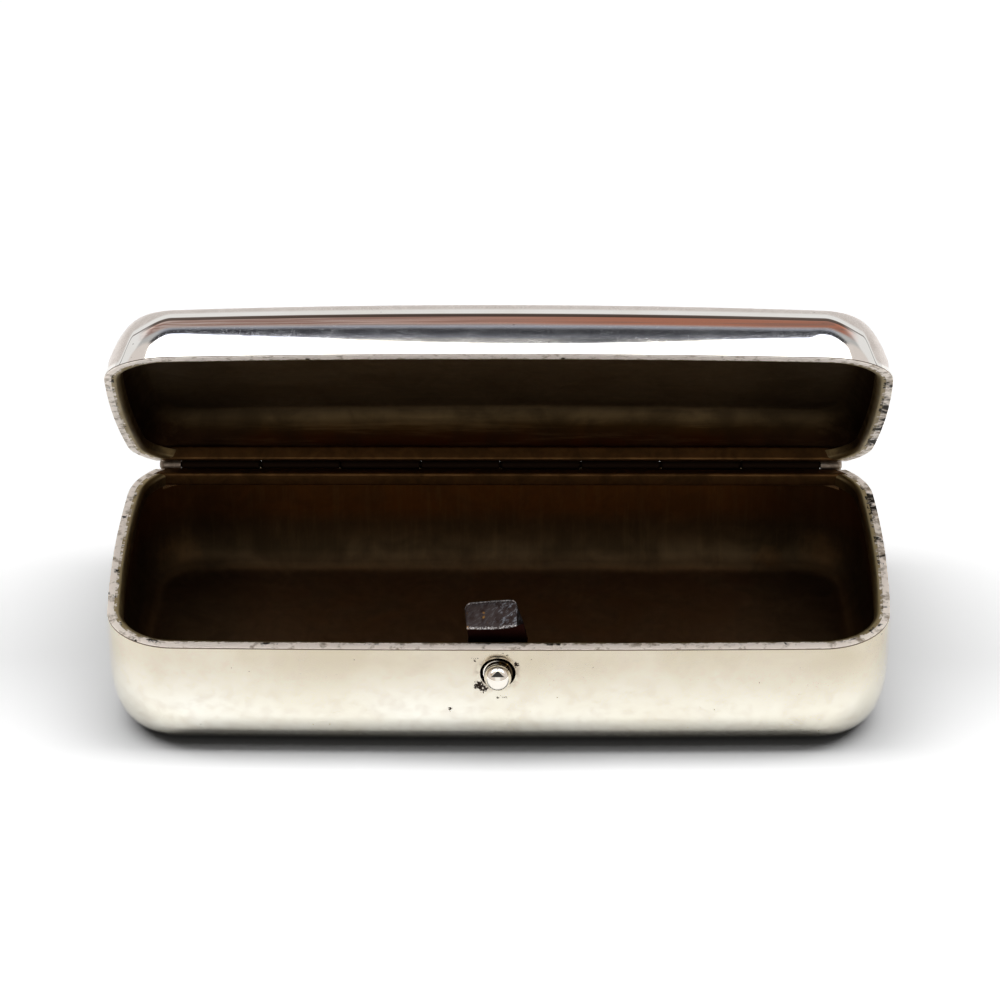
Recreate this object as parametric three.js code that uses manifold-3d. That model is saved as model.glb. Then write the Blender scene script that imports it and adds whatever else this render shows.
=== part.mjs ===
import * as THREE from 'three';
import { LoftGeometry } from 'three/addons/geometries/LoftGeometry.js';
import { mergeVertices } from 'three/addons/utils/BufferGeometryUtils.js';
import Module from 'manifold-3d';

const wasm = await Module();
wasm.setup();

// Millimetres, +Z up, the front towards -Y, the origin at the middle of the underside.

// Plan of the box: four gently bowed sides joined by round corners
const length = 100;
const width = 46.2;
const cornerRadius = 9.2;
const frontBow = 0.55;
const backBow = 0.15;
const endBow = 1.25;

// The two raised halves
const wall = 0.9;
const baseHeight = 16.0;
const baseRoundHeight = 9.8;
const baseRoundInset = 4.9;
const lidHeight = 8.4;
const lidRoundHeight = 8.0;
const lidRoundInset = 2.8;
const lidLean = 1.5;
const lidCrown = 0.9;
const lidMouthLift = 0.5;
const closingGap = 0.1;

// The strip inside each mouth
const rimWidth = 2.0;
const bandHeight = 1.9;
const bandEdge = 0.6;
const solderGap = 0.08;

// The hinge
const hingeInset = 1.2;
const knuckleRadius = 1.0;
const knuckleCount = 8;
const hingeEndMargin = 7;
const knuckleGap = 0.3;
const knuckleChamfer = 0.12;
const pinRadius = 0.42;
const boreClearance = 0.08;
const runningClearance = 0.3;
const plugLength = 2.9;
const plugDome = 0.7;
const plugBoreDepth = 1.4;
const baseBearerDepth = 3.7;
const lidBearerDepth = 3.1;
const bearerHeight = 1.9;
const bearerRound = 0.35;
const openingAtRest = 47.5;
const openingFull = 95;
const bevelSpare = 1.5;

// The spring catch
const leafStandoff = 2.5;
const leafThickness = 0.6;
const leafWidth = 7.4;
const hookTopWidth = 6.5;
const hookTopShift = -0.85;
const leafFootLevel = 3.4;
const leafCorner = 0.8;
const hookGrip = 0.7;
const hookClearance = 0.2;
const hookHeight = 3.0;
const hookNose = 0.4;
const hookUndercut = 0.15;
const hookTopRound = 0.35;
const blockWidth = 7.0;
const blockHeight = 3.6;
const rivetRadius = 0.5;
const rivetHeadRadius = 0.95;
const rivetHeadHeight = 0.45;
const rivetGrip = 0.6;
const rivetSpacing = 4.4;
const rivetClearance = 0.1;

// The push button
const buttonDrop = 3.6;
const buttonRadius = 1.72;
const buttonProud = 0.8;
const buttonHoleRadius = 2.2;
const collarClearance = 0.33;
const collarSunk = 0.05;
const collarChamfer = 0.1;
const shankRadius = 0.5;
const shankClearance = 0.1;
const washerRadius = 1.25;
const washerThickness = 0.35;
const shankEndRadius = 0.85;
const shankEndHeight = 0.4;

// Fineness of the curved surfaces
const sideSteps = 5;
const cornerSteps = 6;
const endSteps = 4;
const roundSteps = 7;
const barrelSides = 18;
const smallSides = 16;
const domeSteps = 4;
const crownSpreads = [0.3, 0.65];

const halfLength = length / 2;
const halfWidth = width / 2;
const axisY = halfWidth - hingeInset;
const barrelHalf = halfLength - hingeEndMargin;
const knucklePitch = (2 * barrelHalf) / knuckleCount;
const recessHalf = barrelHalf + plugLength + runningClearance;
const leafFrontY = leafStandoff - halfWidth;
const leafBackY = leafFrontY + leafThickness;
const leafFootDepth = baseHeight - leafFootLevel;
const rivetZ = blockHeight / 2 - leafFootDepth;
const degrees = Math.PI / 180;

// Heights are measured from the plane of the mouth, so side is the way each half lies from it
const base = {
  side: -1,
  height: baseHeight,
  roundHeight: baseRoundHeight,
  roundInset: baseRoundInset,
  lean: 0,
  crown: 0,
  lift: 0,
  gap: 0,
  bearerDepth: baseBearerDepth,
};
const lid = {
  side: 1,
  height: lidHeight,
  roundHeight: lidRoundHeight,
  roundInset: lidRoundInset,
  lean: lidLean,
  crown: lidCrown,
  lift: lidMouthLift,
  gap: closingGap,
  bearerDepth: lidBearerDepth,
};

const silver = new THREE.MeshStandardMaterial({ color: 0xe4e0d8, roughness: 0.2, metalness: 1 });
const gilt = new THREE.MeshStandardMaterial({ color: 0x8a6a35, roughness: 0.45, metalness: 1 });
const darkSteel = new THREE.MeshStandardMaterial({ color: 0x4b4240, roughness: 0.5, metalness: 1 });

// Closed meshes become solids for cutting, and come back as plain geometry
function solid(geometry) {
  const bare = new THREE.BufferGeometry();
  bare.setAttribute('position', geometry.attributes.position);
  bare.setIndex(geometry.index);
  const merged = mergeVertices(bare);
  const triVerts = Uint32Array.from(merged.index.array);
  const vertProperties = Float32Array.from(merged.attributes.position.array);
  return new wasm.Manifold(new wasm.Mesh({ numProp: 3, vertProperties, triVerts }));
}

function geometryOf(body) {
  const { vertProperties, triVerts } = body.getMesh();
  const geometry = new THREE.BufferGeometry();
  geometry.setAttribute('position', new THREE.BufferAttribute(Float32Array.from(vertProperties), 3));
  geometry.setIndex(new THREE.BufferAttribute(Uint32Array.from(triVerts), 1));
  geometry.computeVertexNormals();
  return geometry;
}

function joined(bodies) {
  return bodies.reduce((whole, body) => whole.add(body));
}

function named(name, body, material) {
  const mesh = new THREE.Mesh(geometryOf(body), material);
  mesh.name = name;
  return mesh;
}

// Radius of an arc that rises by bow over twice halfChord
function bowRadius(halfChord, bow) {
  return (halfChord ** 2 + bow ** 2) / (2 * bow);
}

function bowedSide(bow, direction) {
  const radius = bowRadius(halfLength, bow);
  return { radius, centre: new THREE.Vector2(0, direction * (halfWidth - radius)) };
}

function bowedEnd() {
  const radius = bowRadius(halfWidth, endBow);
  return { radius, centre: new THREE.Vector2(halfLength - radius, 0) };
}

// A corner arc touches both neighbours from inside, so its centre is where two circles cross
function cornerBetween(side, end, turn) {
  const sideReach = side.radius - cornerRadius;
  const endReach = end.radius - cornerRadius;
  const across = end.centre.clone().sub(side.centre);
  const apart = across.length();
  const along = (sideReach ** 2 - endReach ** 2 + apart ** 2) / (2 * apart);
  const aside = turn * Math.sqrt(sideReach ** 2 - along ** 2);
  const ahead = across.divideScalar(apart);
  const centre = side.centre.clone().addScaledVector(ahead, along);
  centre.addScaledVector(new THREE.Vector2(-ahead.y, ahead.x), aside);
  return { radius: cornerRadius, centre };
}

function bearing(from, to) {
  return Math.atan2(to.centre.y - from.centre.y, to.centre.x - from.centre.x);
}

// The right half of the plan as five arcs, from the middle of the front to the middle of the back
function planArcs() {
  const front = bowedSide(frontBow, -1);
  const back = bowedSide(backBow, 1);
  const end = bowedEnd();
  const frontCorner = cornerBetween(front, end, 1);
  const backCorner = cornerBetween(back, end, -1);
  const turns = [
    -Math.PI / 2,
    bearing(front, frontCorner),
    bearing(end, frontCorner),
    bearing(end, backCorner),
    bearing(back, backCorner),
    Math.PI / 2,
  ];
  const arcs = [front, frontCorner, end, backCorner, back];
  const steps = [sideSteps, cornerSteps, endSteps, cornerSteps, sideSteps];
  return arcs.map((arc, index) => {
    const [from, to] = [turns[index], turns[index + 1]];
    return { ...arc, from, to, steps: steps[index] };
  });
}

const arcsOfPlan = planArcs();

// Points of the plan, counter-clockwise from the middle of the front, moved inwards by inset
function outline(inset) {
  const half = arcsOfPlan.flatMap(({ centre, radius, from, to, steps }) => {
    const arc = new THREE.ArcCurve(centre.x, centre.y, radius - inset, from, to, false);
    return arc.getPoints(steps).slice(0, -1);
  });
  const mirrored = half.slice(1).reverse().map((point) => new THREE.Vector2(-point.x, point.y));
  return [...half, new THREE.Vector2(0, halfWidth - inset), ...mirrored];
}

// Height of a point of a half: the lid's top falls away to its ends, and its front edge is lifted
function levelAt(half, x, y, rise) {
  const middle = 1 - (x / halfLength) ** 2;
  const frontness = Math.max(0, -y / halfWidth) ** 4;
  const share = rise / half.height;
  const drop = half.crown * (1 - middle) * (1 - share);
  const lift = half.lift * middle * frontness * share;
  return half.side * (half.height - rise - drop + lift + half.gap);
}

// One cross section of a half, rise being the distance from its closed face, which its sides lean in to
function section(half, { inset, rise, spread = 1 }) {
  const leanIn = half.lean * (1 - rise / half.height);
  const points = outline(inset + leanIn).map(({ x, y }) => {
    const [spreadX, spreadY] = [x * spread, y * spread];
    return new THREE.Vector3(spreadX, spreadY, levelAt(half, spreadX, spreadY, rise));
  });
  return half.side < 0 ? points : points.reverse();
}

// The rounded edge between closed face and side, a quarter of an ellipse, within a thickness
function roundedEdge(half, thickness) {
  const insetSpan = half.roundInset - thickness;
  const riseSpan = half.roundHeight - thickness;
  return Array.from({ length: roundSteps + 1 }, (_, step) => {
    const turn = (step / roundSteps) * (Math.PI / 2);
    const inset = thickness + insetSpan * (1 - Math.sin(turn));
    return { inset, rise: thickness + riseSpan * (1 - Math.cos(turn)) };
  });
}

// A crowned face needs rings of its own between its edge and its middle; a flat one has none
function closedFace(half, thickness) {
  const spreads = half.crown > 0 ? crownSpreads : [];
  return spreads.map((spread) => ({ inset: half.roundInset, rise: thickness, spread }));
}

// A half's form as a full solid, shrunk inwards by thickness and carried past the mouth by reach
function form(half, thickness, reach) {
  const mouth = { inset: thickness, rise: half.height + reach };
  const stations = [...closedFace(half, thickness), ...roundedEdge(half, thickness), mouth];
  const sections = stations.map((station) => section(half, station));
  return solid(new LoftGeometry(sections, { capStart: true, capEnd: true }));
}

function cup(half) {
  return form(half, 0, 0).subtract(form(half, wall, wall));
}

// The space inside a half, kept clear of its walls
function cavity(half, clearance) {
  return form(half, wall + clearance, 0);
}

function block(fromX, toX, fromY, toY, fromZ, toZ) {
  const box = new THREE.BoxGeometry(toX - fromX, toY - fromY, toZ - fromZ);
  return solid(box.translate((fromX + toX) / 2, (fromY + toY) / 2, (fromZ + toZ) / 2));
}

// A profile drawn in Y and Z, extruded along X between two ends
function alongX(shape, fromX, toX) {
  const depth = toX - fromX;
  const bar = new THREE.ExtrudeGeometry(shape, { depth, bevelEnabled: false, curveSegments: domeSteps });
  const turned = new THREE.Matrix4().makeBasis(
    new THREE.Vector3(0, 1, 0),
    new THREE.Vector3(0, 0, 1),
    new THREE.Vector3(1, 0, 0),
  );
  return solid(bar.applyMatrix4(turned).translate(fromX, 0, 0));
}

function rodAlongX(radius, fromX, toX) {
  const rod = new THREE.CylinderGeometry(radius, radius, toX - fromX, barrelSides).rotateZ(Math.PI / 2);
  return solid(rod.translate((fromX + toX) / 2, axisY, 0));
}

function rodAlongY(radius, fromY, toY, x, z) {
  const rod = new THREE.CylinderGeometry(radius, radius, toY - fromY, smallSides);
  return solid(rod.translate(x, (fromY + toY) / 2, z));
}

// A closed profile of [radius, distance] pairs turned about Y
function turned(profile, sides) {
  return new THREE.LatheGeometry(profile.map(([radius, along]) => new THREE.Vector2(radius, along)), sides);
}

// A quarter round from an edge at radius to the axis, as [radius, distance] pairs
function dome(radius, rise, from) {
  return Array.from({ length: domeSteps + 1 }, (_, step) => {
    const turn = (step / domeSteps) * (Math.PI / 2);
    return [step === domeSteps ? 0 : radius * Math.cos(turn), from + rise * Math.sin(turn)];
  });
}

// Which half carries a knuckle: they take turns, and the base has the first
function carrierOf(index) {
  return index % 2 === 0 ? base : lid;
}

function knuckleStart(index) {
  return index * knucklePitch - barrelHalf;
}

// The groove that the barrel lies in: close round a half's own knuckles, with room for the others
function barrelGroove(half) {
  const seat = knuckleRadius + solderGap;
  const room = knuckleRadius + runningClearance;
  const grooves = Array.from({ length: knuckleCount }, (_, index) => {
    const own = carrierOf(index) === half;
    const spare = own ? 0 : knuckleGap / 2;
    const start = knuckleStart(index);
    return rodAlongX(own ? seat : room, start - spare, start + knucklePitch + spare);
  });
  const plugRoom = half === base ? seat : room;
  grooves.push(rodAlongX(plugRoom, barrelHalf, recessHalf));
  grooves.push(rodAlongX(plugRoom, -recessHalf, -barrelHalf));
  return joined(grooves);
}

// Behind the axis both halves are bevelled by half the swing, so that the lid can pass upright
function swingBevel(half) {
  const reach = hingeInset * 2;
  const fall = reach * Math.tan((openingFull / 2 + bevelSpare) * degrees);
  const wedge = new THREE.Shape();
  wedge.moveTo(axisY, 0);
  wedge.lineTo(axisY + reach, half.side * fall);
  wedge.lineTo(axisY + reach, -half.side * reach);
  wedge.lineTo(axisY, -half.side * reach);
  return alongX(wedge, -length, length);
}

function shell(half) {
  const groove = rodAlongX(knuckleRadius + runningClearance, -recessHalf, recessHalf);
  return cup(half).subtract(groove).subtract(swingBevel(half));
}

// The button's hole goes through the wall and notches the strip behind it
function buttonHole() {
  return rodAlongY(buttonHoleRadius, -width, leafFrontY, 0, -buttonDrop);
}

// The strip inside a mouth, with a rounded inner edge, open at the back for the joint bearer
function mouthBand(half) {
  const corner = Array.from({ length: domeSteps + 1 }, (_, step) => {
    const turn = (step / domeSteps) * (Math.PI / 2);
    return {
      inset: rimWidth - bandEdge * (1 - Math.sin(turn)),
      rise: half.height - bandEdge * (1 - Math.cos(turn)),
    };
  });
  const outerTop = { inset: wall / 2, rise: half.height };
  const outerLow = { inset: wall / 2, rise: half.height - bandHeight };
  const innerLow = { inset: rimWidth, rise: half.height - bandHeight };
  const stations = [outerTop, ...corner, innerLow, outerLow, outerTop];
  const ring = solid(new LoftGeometry(stations.map((station) => section(half, station))));
  const bearerFront = halfWidth - half.bearerDepth - solderGap;
  const backPart = block(-length, length, bearerFront, width, -lidHeight, lidHeight);
  return ring.intersect(cavity(half, solderGap)).subtract(backPart);
}

// The bar that the knuckles of one half are soldered into
function jointBearer(half) {
  const front = halfWidth - half.bearerDepth;
  const face = half.side * half.gap;
  const far = half.side * bearerHeight + face;
  const profile = new THREE.Shape();
  profile.moveTo(front, face);
  profile.lineTo(halfWidth, face);
  profile.lineTo(halfWidth, far);
  profile.lineTo(front + bearerRound, far);
  profile.quadraticCurveTo(front, far, front, far - half.side * bearerRound);
  const bar = alongX(profile, -halfLength, halfLength);
  return bar.intersect(cavity(half, solderGap)).subtract(barrelGroove(half)).subtract(swingBevel(half));
}

function knuckle(index) {
  const bore = pinRadius + boreClearance;
  const long = knucklePitch - knuckleGap;
  const shoulder = knuckleRadius - knuckleChamfer;
  const profile = [
    [bore, 0],
    [shoulder, 0],
    [knuckleRadius, knuckleChamfer],
    [knuckleRadius, long - knuckleChamfer],
    [shoulder, long],
    [bore, long],
    [bore, 0],
  ];
  const tube = turned(profile, barrelSides).rotateZ(-Math.PI / 2);
  return solid(tube.translate(knuckleStart(index) + knuckleGap / 2, axisY, 0));
}

function hingePin() {
  const reach = barrelHalf + plugBoreDepth - boreClearance;
  return rodAlongX(pinRadius, -reach, reach);
}

// Domed plug at an end of the barrel, bored for the end of the pin
function hingePlug(direction) {
  const bore = pinRadius + boreClearance;
  const profile = [
    [0, plugBoreDepth],
    [bore, plugBoreDepth],
    [bore, 0],
    [knuckleRadius, 0],
    ...dome(knuckleRadius, plugDome, plugLength - plugDome),
  ];
  const plug = turned(profile, barrelSides).rotateZ((-direction * Math.PI) / 2);
  return solid(plug.translate(direction * barrelHalf, axisY, 0));
}

// The hook's outline from the side, standing on the leaf that carries it
function hookShape() {
  const noseY = rimWidth - hookGrip - halfWidth;
  const underside = bandHeight + closingGap + hookClearance;
  const top = underside + hookHeight;
  const shape = new THREE.Shape();
  shape.moveTo(leafBackY, -leafFootDepth);
  shape.lineTo(leafBackY, top - hookTopRound);
  shape.quadraticCurveTo(leafBackY, top, leafBackY - hookTopRound, top);
  shape.quadraticCurveTo(leafFrontY - hookGrip / 2, top - hookNose, noseY, underside + hookNose);
  shape.lineTo(noseY, underside);
  shape.lineTo(leafFrontY, underside + hookUndercut);
  shape.lineTo(leafFrontY, -leafFootDepth);
  return shape;
}

// The leaf's outline from the front: a strip up to the mouth, then the hook, filed out of square
function leafShape() {
  const top = bandHeight + closingGap + hookClearance + hookHeight;
  const left = hookTopShift - hookTopWidth / 2;
  const right = hookTopShift + hookTopWidth / 2;
  const shape = new THREE.Shape();
  shape.moveTo(-leafWidth / 2, 0);
  shape.lineTo(-leafWidth / 2, -leafFootDepth);
  shape.lineTo(leafWidth / 2, -leafFootDepth);
  shape.lineTo(leafWidth / 2, 0);
  shape.lineTo(right, top - leafCorner);
  shape.quadraticCurveTo(right, top, right - leafCorner, top);
  shape.lineTo(left + leafCorner, top);
  shape.quadraticCurveTo(left, top, left, top - leafCorner);
  return shape;
}

// A profile drawn in X and Z, extruded through the leaf along Y
function throughLeaf(shape) {
  const settings = { depth: width, bevelEnabled: false, curveSegments: domeSteps };
  const plate = new THREE.ExtrudeGeometry(shape, settings);
  return solid(plate.rotateX(Math.PI / 2));
}

function rivetPlaces() {
  return [-rivetSpacing / 2, rivetSpacing / 2];
}

function rivetHoles(fromY, toY) {
  return joined(rivetPlaces().map((x) => rodAlongY(rivetRadius + rivetClearance, fromY, toY, x, rivetZ)));
}

function catchSpring() {
  const strip = alongX(hookShape(), -leafWidth, leafWidth);
  const [fromY, toY] = [leafFrontY - wall, leafBackY + wall];
  const shankHole = rodAlongY(shankRadius + shankClearance, fromY, toY, 0, -buttonDrop);
  const holes = rivetHoles(fromY, toY);
  return strip.intersect(throughLeaf(leafShape())).subtract(shankHole).subtract(holes);
}

// The lug soldered to the inside of the front wall, which carries the leaf's foot
function catchBlock() {
  const lug = block(
    -blockWidth / 2,
    blockWidth / 2,
    -width,
    leafFrontY - solderGap,
    -leafFootDepth,
    blockHeight - leafFootDepth,
  );
  return lug.intersect(cavity(base, solderGap)).subtract(rivetHoles(-width, leafBackY));
}

// A rivet goes through the leaf into the lug and stops short of the wall
function catchRivet(x) {
  const headFrom = leafThickness + solderGap;
  const profile = [
    [0, -rivetGrip - solderGap],
    [rivetRadius, -rivetGrip - solderGap],
    [rivetRadius, headFrom],
    [rivetHeadRadius, headFrom],
    ...dome(rivetHeadRadius, rivetHeadHeight, headFrom).slice(1),
  ];
  const rivet = solid(turned(profile, smallSides).translate(x, leafFrontY, rivetZ));
  return rivet.intersect(cavity(base, solderGap));
}

// The ball on its collar, which fills the hole flush with the wall, then the shank and riveted end
function pushButton() {
  const ballY = -halfWidth - buttonProud;
  const collarY = collarSunk - halfWidth;
  const collarRadius = buttonHoleRadius - collarClearance;
  const ballTurn = Math.acos((ballY - collarY) / buttonRadius);
  const ballSteps = 2 * domeSteps;
  const ball = Array.from({ length: ballSteps + 1 }, (_, step) => {
    const turn = (step / ballSteps) * ballTurn;
    return [step === 0 ? 0 : buttonRadius * Math.sin(turn), ballY - buttonRadius * Math.cos(turn)];
  });
  const shoulderY = leafFrontY - solderGap;
  const endY = leafBackY + washerThickness + 2 * solderGap;
  const profile = [
    ...ball,
    [collarRadius - collarChamfer, collarY],
    [collarRadius, collarY + collarChamfer],
    [collarRadius, shoulderY],
    [shankRadius, shoulderY],
    [shankRadius, endY],
    [shankEndRadius, endY],
    ...dome(shankEndRadius, shankEndHeight, endY).slice(1),
  ];
  return solid(turned(profile, smallSides).translate(0, 0, -buttonDrop));
}

function buttonWasher() {
  const bore = shankRadius + shankClearance;
  const nearY = leafBackY + solderGap;
  const profile = [
    [bore, nearY],
    [washerRadius, nearY],
    [washerRadius, nearY + washerThickness],
    [bore, nearY + washerThickness],
    [bore, nearY],
  ];
  return solid(turned(profile, smallSides).translate(0, 0, -buttonDrop));
}

function knucklesOf(half, name) {
  const all = Array.from({ length: knuckleCount }, (_, index) => index);
  const own = all.filter((index) => carrierOf(index) === half);
  return own.map((index, place) => named(`${name}_${place + 1}`, knuckle(index), silver));
}

function baseGroup() {
  const group = new THREE.Group();
  group.add(
    named('base_shell', shell(base).subtract(buttonHole()), silver),
    named('base_mouth_band', mouthBand(base).subtract(buttonHole()), gilt),
    named('base_joint_bearer', jointBearer(base), gilt),
    ...knucklesOf(base, 'base_knuckle'),
    named('hinge_pin', hingePin(), silver),
    named('hinge_plug_left', hingePlug(-1), silver),
    named('hinge_plug_right', hingePlug(1), silver),
    named('catch_block', catchBlock(), gilt),
    named('catch_spring', catchSpring(), darkSteel),
    named('push_button', pushButton(), silver),
    named('button_washer', buttonWasher(), darkSteel),
  );
  const [leftX, rightX] = rivetPlaces();
  group.add(named('catch_rivet_left', catchRivet(leftX), darkSteel));
  group.add(named('catch_rivet_right', catchRivet(rightX), darkSteel));
  group.position.z = baseHeight;
  return group;
}

// The lid hangs in a group at the hinge axis, which turns it up to its open position
function lidGroup() {
  const swing = new THREE.Group();
  const pieces = [
    named('lid_shell', shell(lid), silver),
    named('lid_mouth_band', mouthBand(lid), gilt),
    named('lid_joint_bearer', jointBearer(lid), gilt),
    ...knucklesOf(lid, 'lid_knuckle'),
  ];
  pieces.forEach((piece) => {
    piece.position.y = -axisY;
    swing.add(piece);
  });
  swing.position.set(0, axisY, baseHeight);
  swing.rotation.x = -openingAtRest * degrees;
  return swing;
}

const snuffBox = new THREE.Group();
snuffBox.add(baseGroup(), lidGroup());

export default snuffBox;
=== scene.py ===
# %% [markdown]
# # An open snuff box in silver
# The box is raised from sheet silver in two halves, which turn on a flush hinge of eight knuckles.
# A steel leaf with a filed hook holds the lid, and a ball in the front wall pushes it back.
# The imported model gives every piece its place. This script rebuilds the surfaces that the eye meets
# as smooth meshes, gives each its finish, and lights the box as a plain white table would.

# %% Load the frame
import math
import bmesh
import bpy
from mathutils import Matrix, Vector, noise


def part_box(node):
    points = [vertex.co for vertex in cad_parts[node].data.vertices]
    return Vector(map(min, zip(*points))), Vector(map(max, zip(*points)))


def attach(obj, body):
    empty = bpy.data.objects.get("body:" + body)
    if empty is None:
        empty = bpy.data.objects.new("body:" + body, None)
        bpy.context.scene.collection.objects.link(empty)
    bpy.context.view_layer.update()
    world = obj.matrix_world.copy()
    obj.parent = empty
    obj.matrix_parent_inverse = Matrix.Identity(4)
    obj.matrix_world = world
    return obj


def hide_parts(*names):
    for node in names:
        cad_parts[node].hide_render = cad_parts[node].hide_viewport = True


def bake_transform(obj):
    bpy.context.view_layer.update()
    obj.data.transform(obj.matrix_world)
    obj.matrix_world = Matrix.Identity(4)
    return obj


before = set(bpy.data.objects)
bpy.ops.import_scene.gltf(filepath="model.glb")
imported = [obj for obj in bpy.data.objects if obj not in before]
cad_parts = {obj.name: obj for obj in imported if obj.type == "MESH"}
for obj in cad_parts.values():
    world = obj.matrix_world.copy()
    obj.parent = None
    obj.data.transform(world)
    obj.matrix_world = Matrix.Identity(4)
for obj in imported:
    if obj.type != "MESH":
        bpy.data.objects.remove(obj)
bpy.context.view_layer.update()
mm = 0.001

# %% [markdown]
# ## The camera
# The photograph looks down at the open box from the front, about 31 degrees above the table.
# A camera can be placed by eye, or worked out from the outlines of the rim and the lid, whose
# real shape is known. The second way was used here, because it also gives the lens: a long one,
# so the far side of the box is hardly smaller than the near side.

# %% Camera
CAMERA_PLACE = Vector((4.434, -416.805, 277.140)) * mm
LOOK = Vector((-0.008823, 0.854420, -0.519508))
ROLL = math.radians(-0.24)
LENS = 136.617
camera_data = bpy.data.cameras.new("camera")
camera_data.lens = LENS
camera_data.sensor_width = 36
camera_data.clip_start = 0.01
camera = bpy.data.objects.new("camera", camera_data)
bpy.context.scene.collection.objects.link(camera)
camera.location = CAMERA_PLACE
turned = LOOK.to_track_quat("-Z", "Y").to_matrix() @ Matrix.Rotation(ROLL, 3, "Z")
camera.rotation_euler = turned.to_euler()
bpy.context.scene.camera = camera
print("lens", LENS)

# %% [markdown]
# ## Sizes
# The overall sizes are read from the frame. The rest are the maker's own: the walls are 0.9 mm
# sheet, and each half turns over into its closed face in a quarter of an ellipse, which is a
# little squarer on the base. Each plan side is a shallow arc, so the whole outline is five arcs
# on each side of the middle.

# %% Sizes of the box
low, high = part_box("base_shell")
half_length = high.x
half_width = high.y
base_height = high.z
CORNER_RADIUS = 9.2 * mm
FRONT_BOW = 0.55 * mm
BACK_BOW = 0.15 * mm
END_BOW = 1.25 * mm
WALL = 0.9 * mm
HINGE_INSET = 1.2 * mm
OPENING = math.radians(47.5)
axis_y = half_width - HINGE_INSET
hinge = Vector((0, axis_y, base_height))
print("half length", round(half_length / mm, 2), "half width", round(half_width / mm, 2))

# %% [markdown]
# ## Helpers for turning a bmesh into a piece
# A bmesh is Blender's workshop mesh: operators shape it, and it is then written into an object.
# Doubles are merged before the normals are turned outwards, because a seam would stop the turn.
# Edges sharper than a set angle stay crisp, and all else is shaded smooth.

# %% Finish a piece
JOIN = 0.001 * mm
CLOSE = 0.01 * mm
SHARP = 38
CARVED_SHARP = 32


def finish_mesh(name, bm, sharp=SHARP, merge=0.0005 * mm):
    bmesh.ops.remove_doubles(bm, verts=bm.verts, dist=merge)
    bmesh.ops.recalc_face_normals(bm, faces=bm.faces)
    mesh = bpy.data.meshes.new(name)
    bm.to_mesh(mesh)
    bm.free()
    piece = bpy.data.objects.new(name, mesh)
    bpy.context.scene.collection.objects.link(piece)
    smooth(piece, sharp)
    return piece


def smooth(piece, sharp=SHARP):
    piece.data.shade_smooth()
    piece.data.set_sharp_from_angle(angle=math.radians(sharp))


def place(piece, body, slot, *nodes):
    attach(piece, body)
    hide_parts(*nodes)
    print(piece.name, "faces", len(piece.data.polygons))


# %% Helpers for edges
def open_edges(bm):
    return [e for e in bm.edges if e.is_boundary]


def soften(bm, edges, width, segments):
    """Rounds edges over, as a file and a cloth do."""
    bmesh.ops.bevel(
        bm, geom=edges, offset=width, affect="EDGES", segments=segments, profile=0.5, material=-1
    )


# %% [markdown]
# A hole or a groove is cut as a smith files it: a tool of the groove's shape is taken away from
# the piece. The Boolean modifier does that, and its result is kept as the piece's own mesh.

# %% Cut a piece with a tool
def carve(piece, tool, operation="DIFFERENCE"):
    change = piece.modifiers.new("carve", "BOOLEAN")
    change.object = tool
    change.operation = operation
    change.solver = "EXACT"
    graph = bpy.context.evaluated_depsgraph_get()
    mesh = bpy.data.meshes.new_from_object(piece.evaluated_get(graph))
    piece.modifiers.clear()
    piece.data = mesh
    bpy.data.objects.remove(tool)


# %% [markdown]
# ## The plan of the box
# One side of the plan is five arcs: front, corner, end, corner, back. A corner arc touches both
# its neighbours from inside, so its centre is where two circles cross. A wall's cross section is
# then swept round these arcs with the spin operator. Since every ring turns about the same
# centres, a ring further in is a true parallel of the outer one, and the wall keeps its thickness.

# %% The five arcs
def bow_radius(half_chord, bow):
    return (half_chord**2 + bow**2) / (2 * bow)


def corner_centre(side, side_radius, end, end_radius, turn):
    side_reach = side_radius - CORNER_RADIUS
    end_reach = end_radius - CORNER_RADIUS
    across = end - side
    along = (side_reach**2 - end_reach**2 + across.length_squared) / (2 * across.length)
    aside = turn * math.sqrt(side_reach**2 - along**2)
    ahead = across.normalized()
    return side + ahead * along + Vector((-ahead.y, ahead.x)) * aside


def bearing(start, end):
    return math.atan2(end.y - start.y, end.x - start.x)


def plan_arcs():
    front_radius = bow_radius(half_length, FRONT_BOW)
    back_radius = bow_radius(half_length, BACK_BOW)
    end_radius = bow_radius(half_width, END_BOW)
    front = Vector((0, front_radius - half_width))
    back = Vector((0, half_width - back_radius))
    end = Vector((half_length - end_radius, 0))
    front_corner = corner_centre(front, front_radius, end, end_radius, 1)
    back_corner = corner_centre(back, back_radius, end, end_radius, -1)
    turns = [
        -math.pi / 2,
        bearing(front, front_corner),
        bearing(end, front_corner),
        bearing(end, back_corner),
        bearing(back, back_corner),
        math.pi / 2,
    ]
    centres = [front, front_corner, end, back_corner, back]
    return [(centre, turns[i + 1] - turns[i]) for i, centre in enumerate(centres)]


ARCS = plan_arcs()
print("turns in degrees", [round(math.degrees(turn), 1) for centre, turn in ARCS])

# %% Sweep a cross section round the plan
ARC_STEPS = (22, 18, 16, 18, 22)


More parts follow.
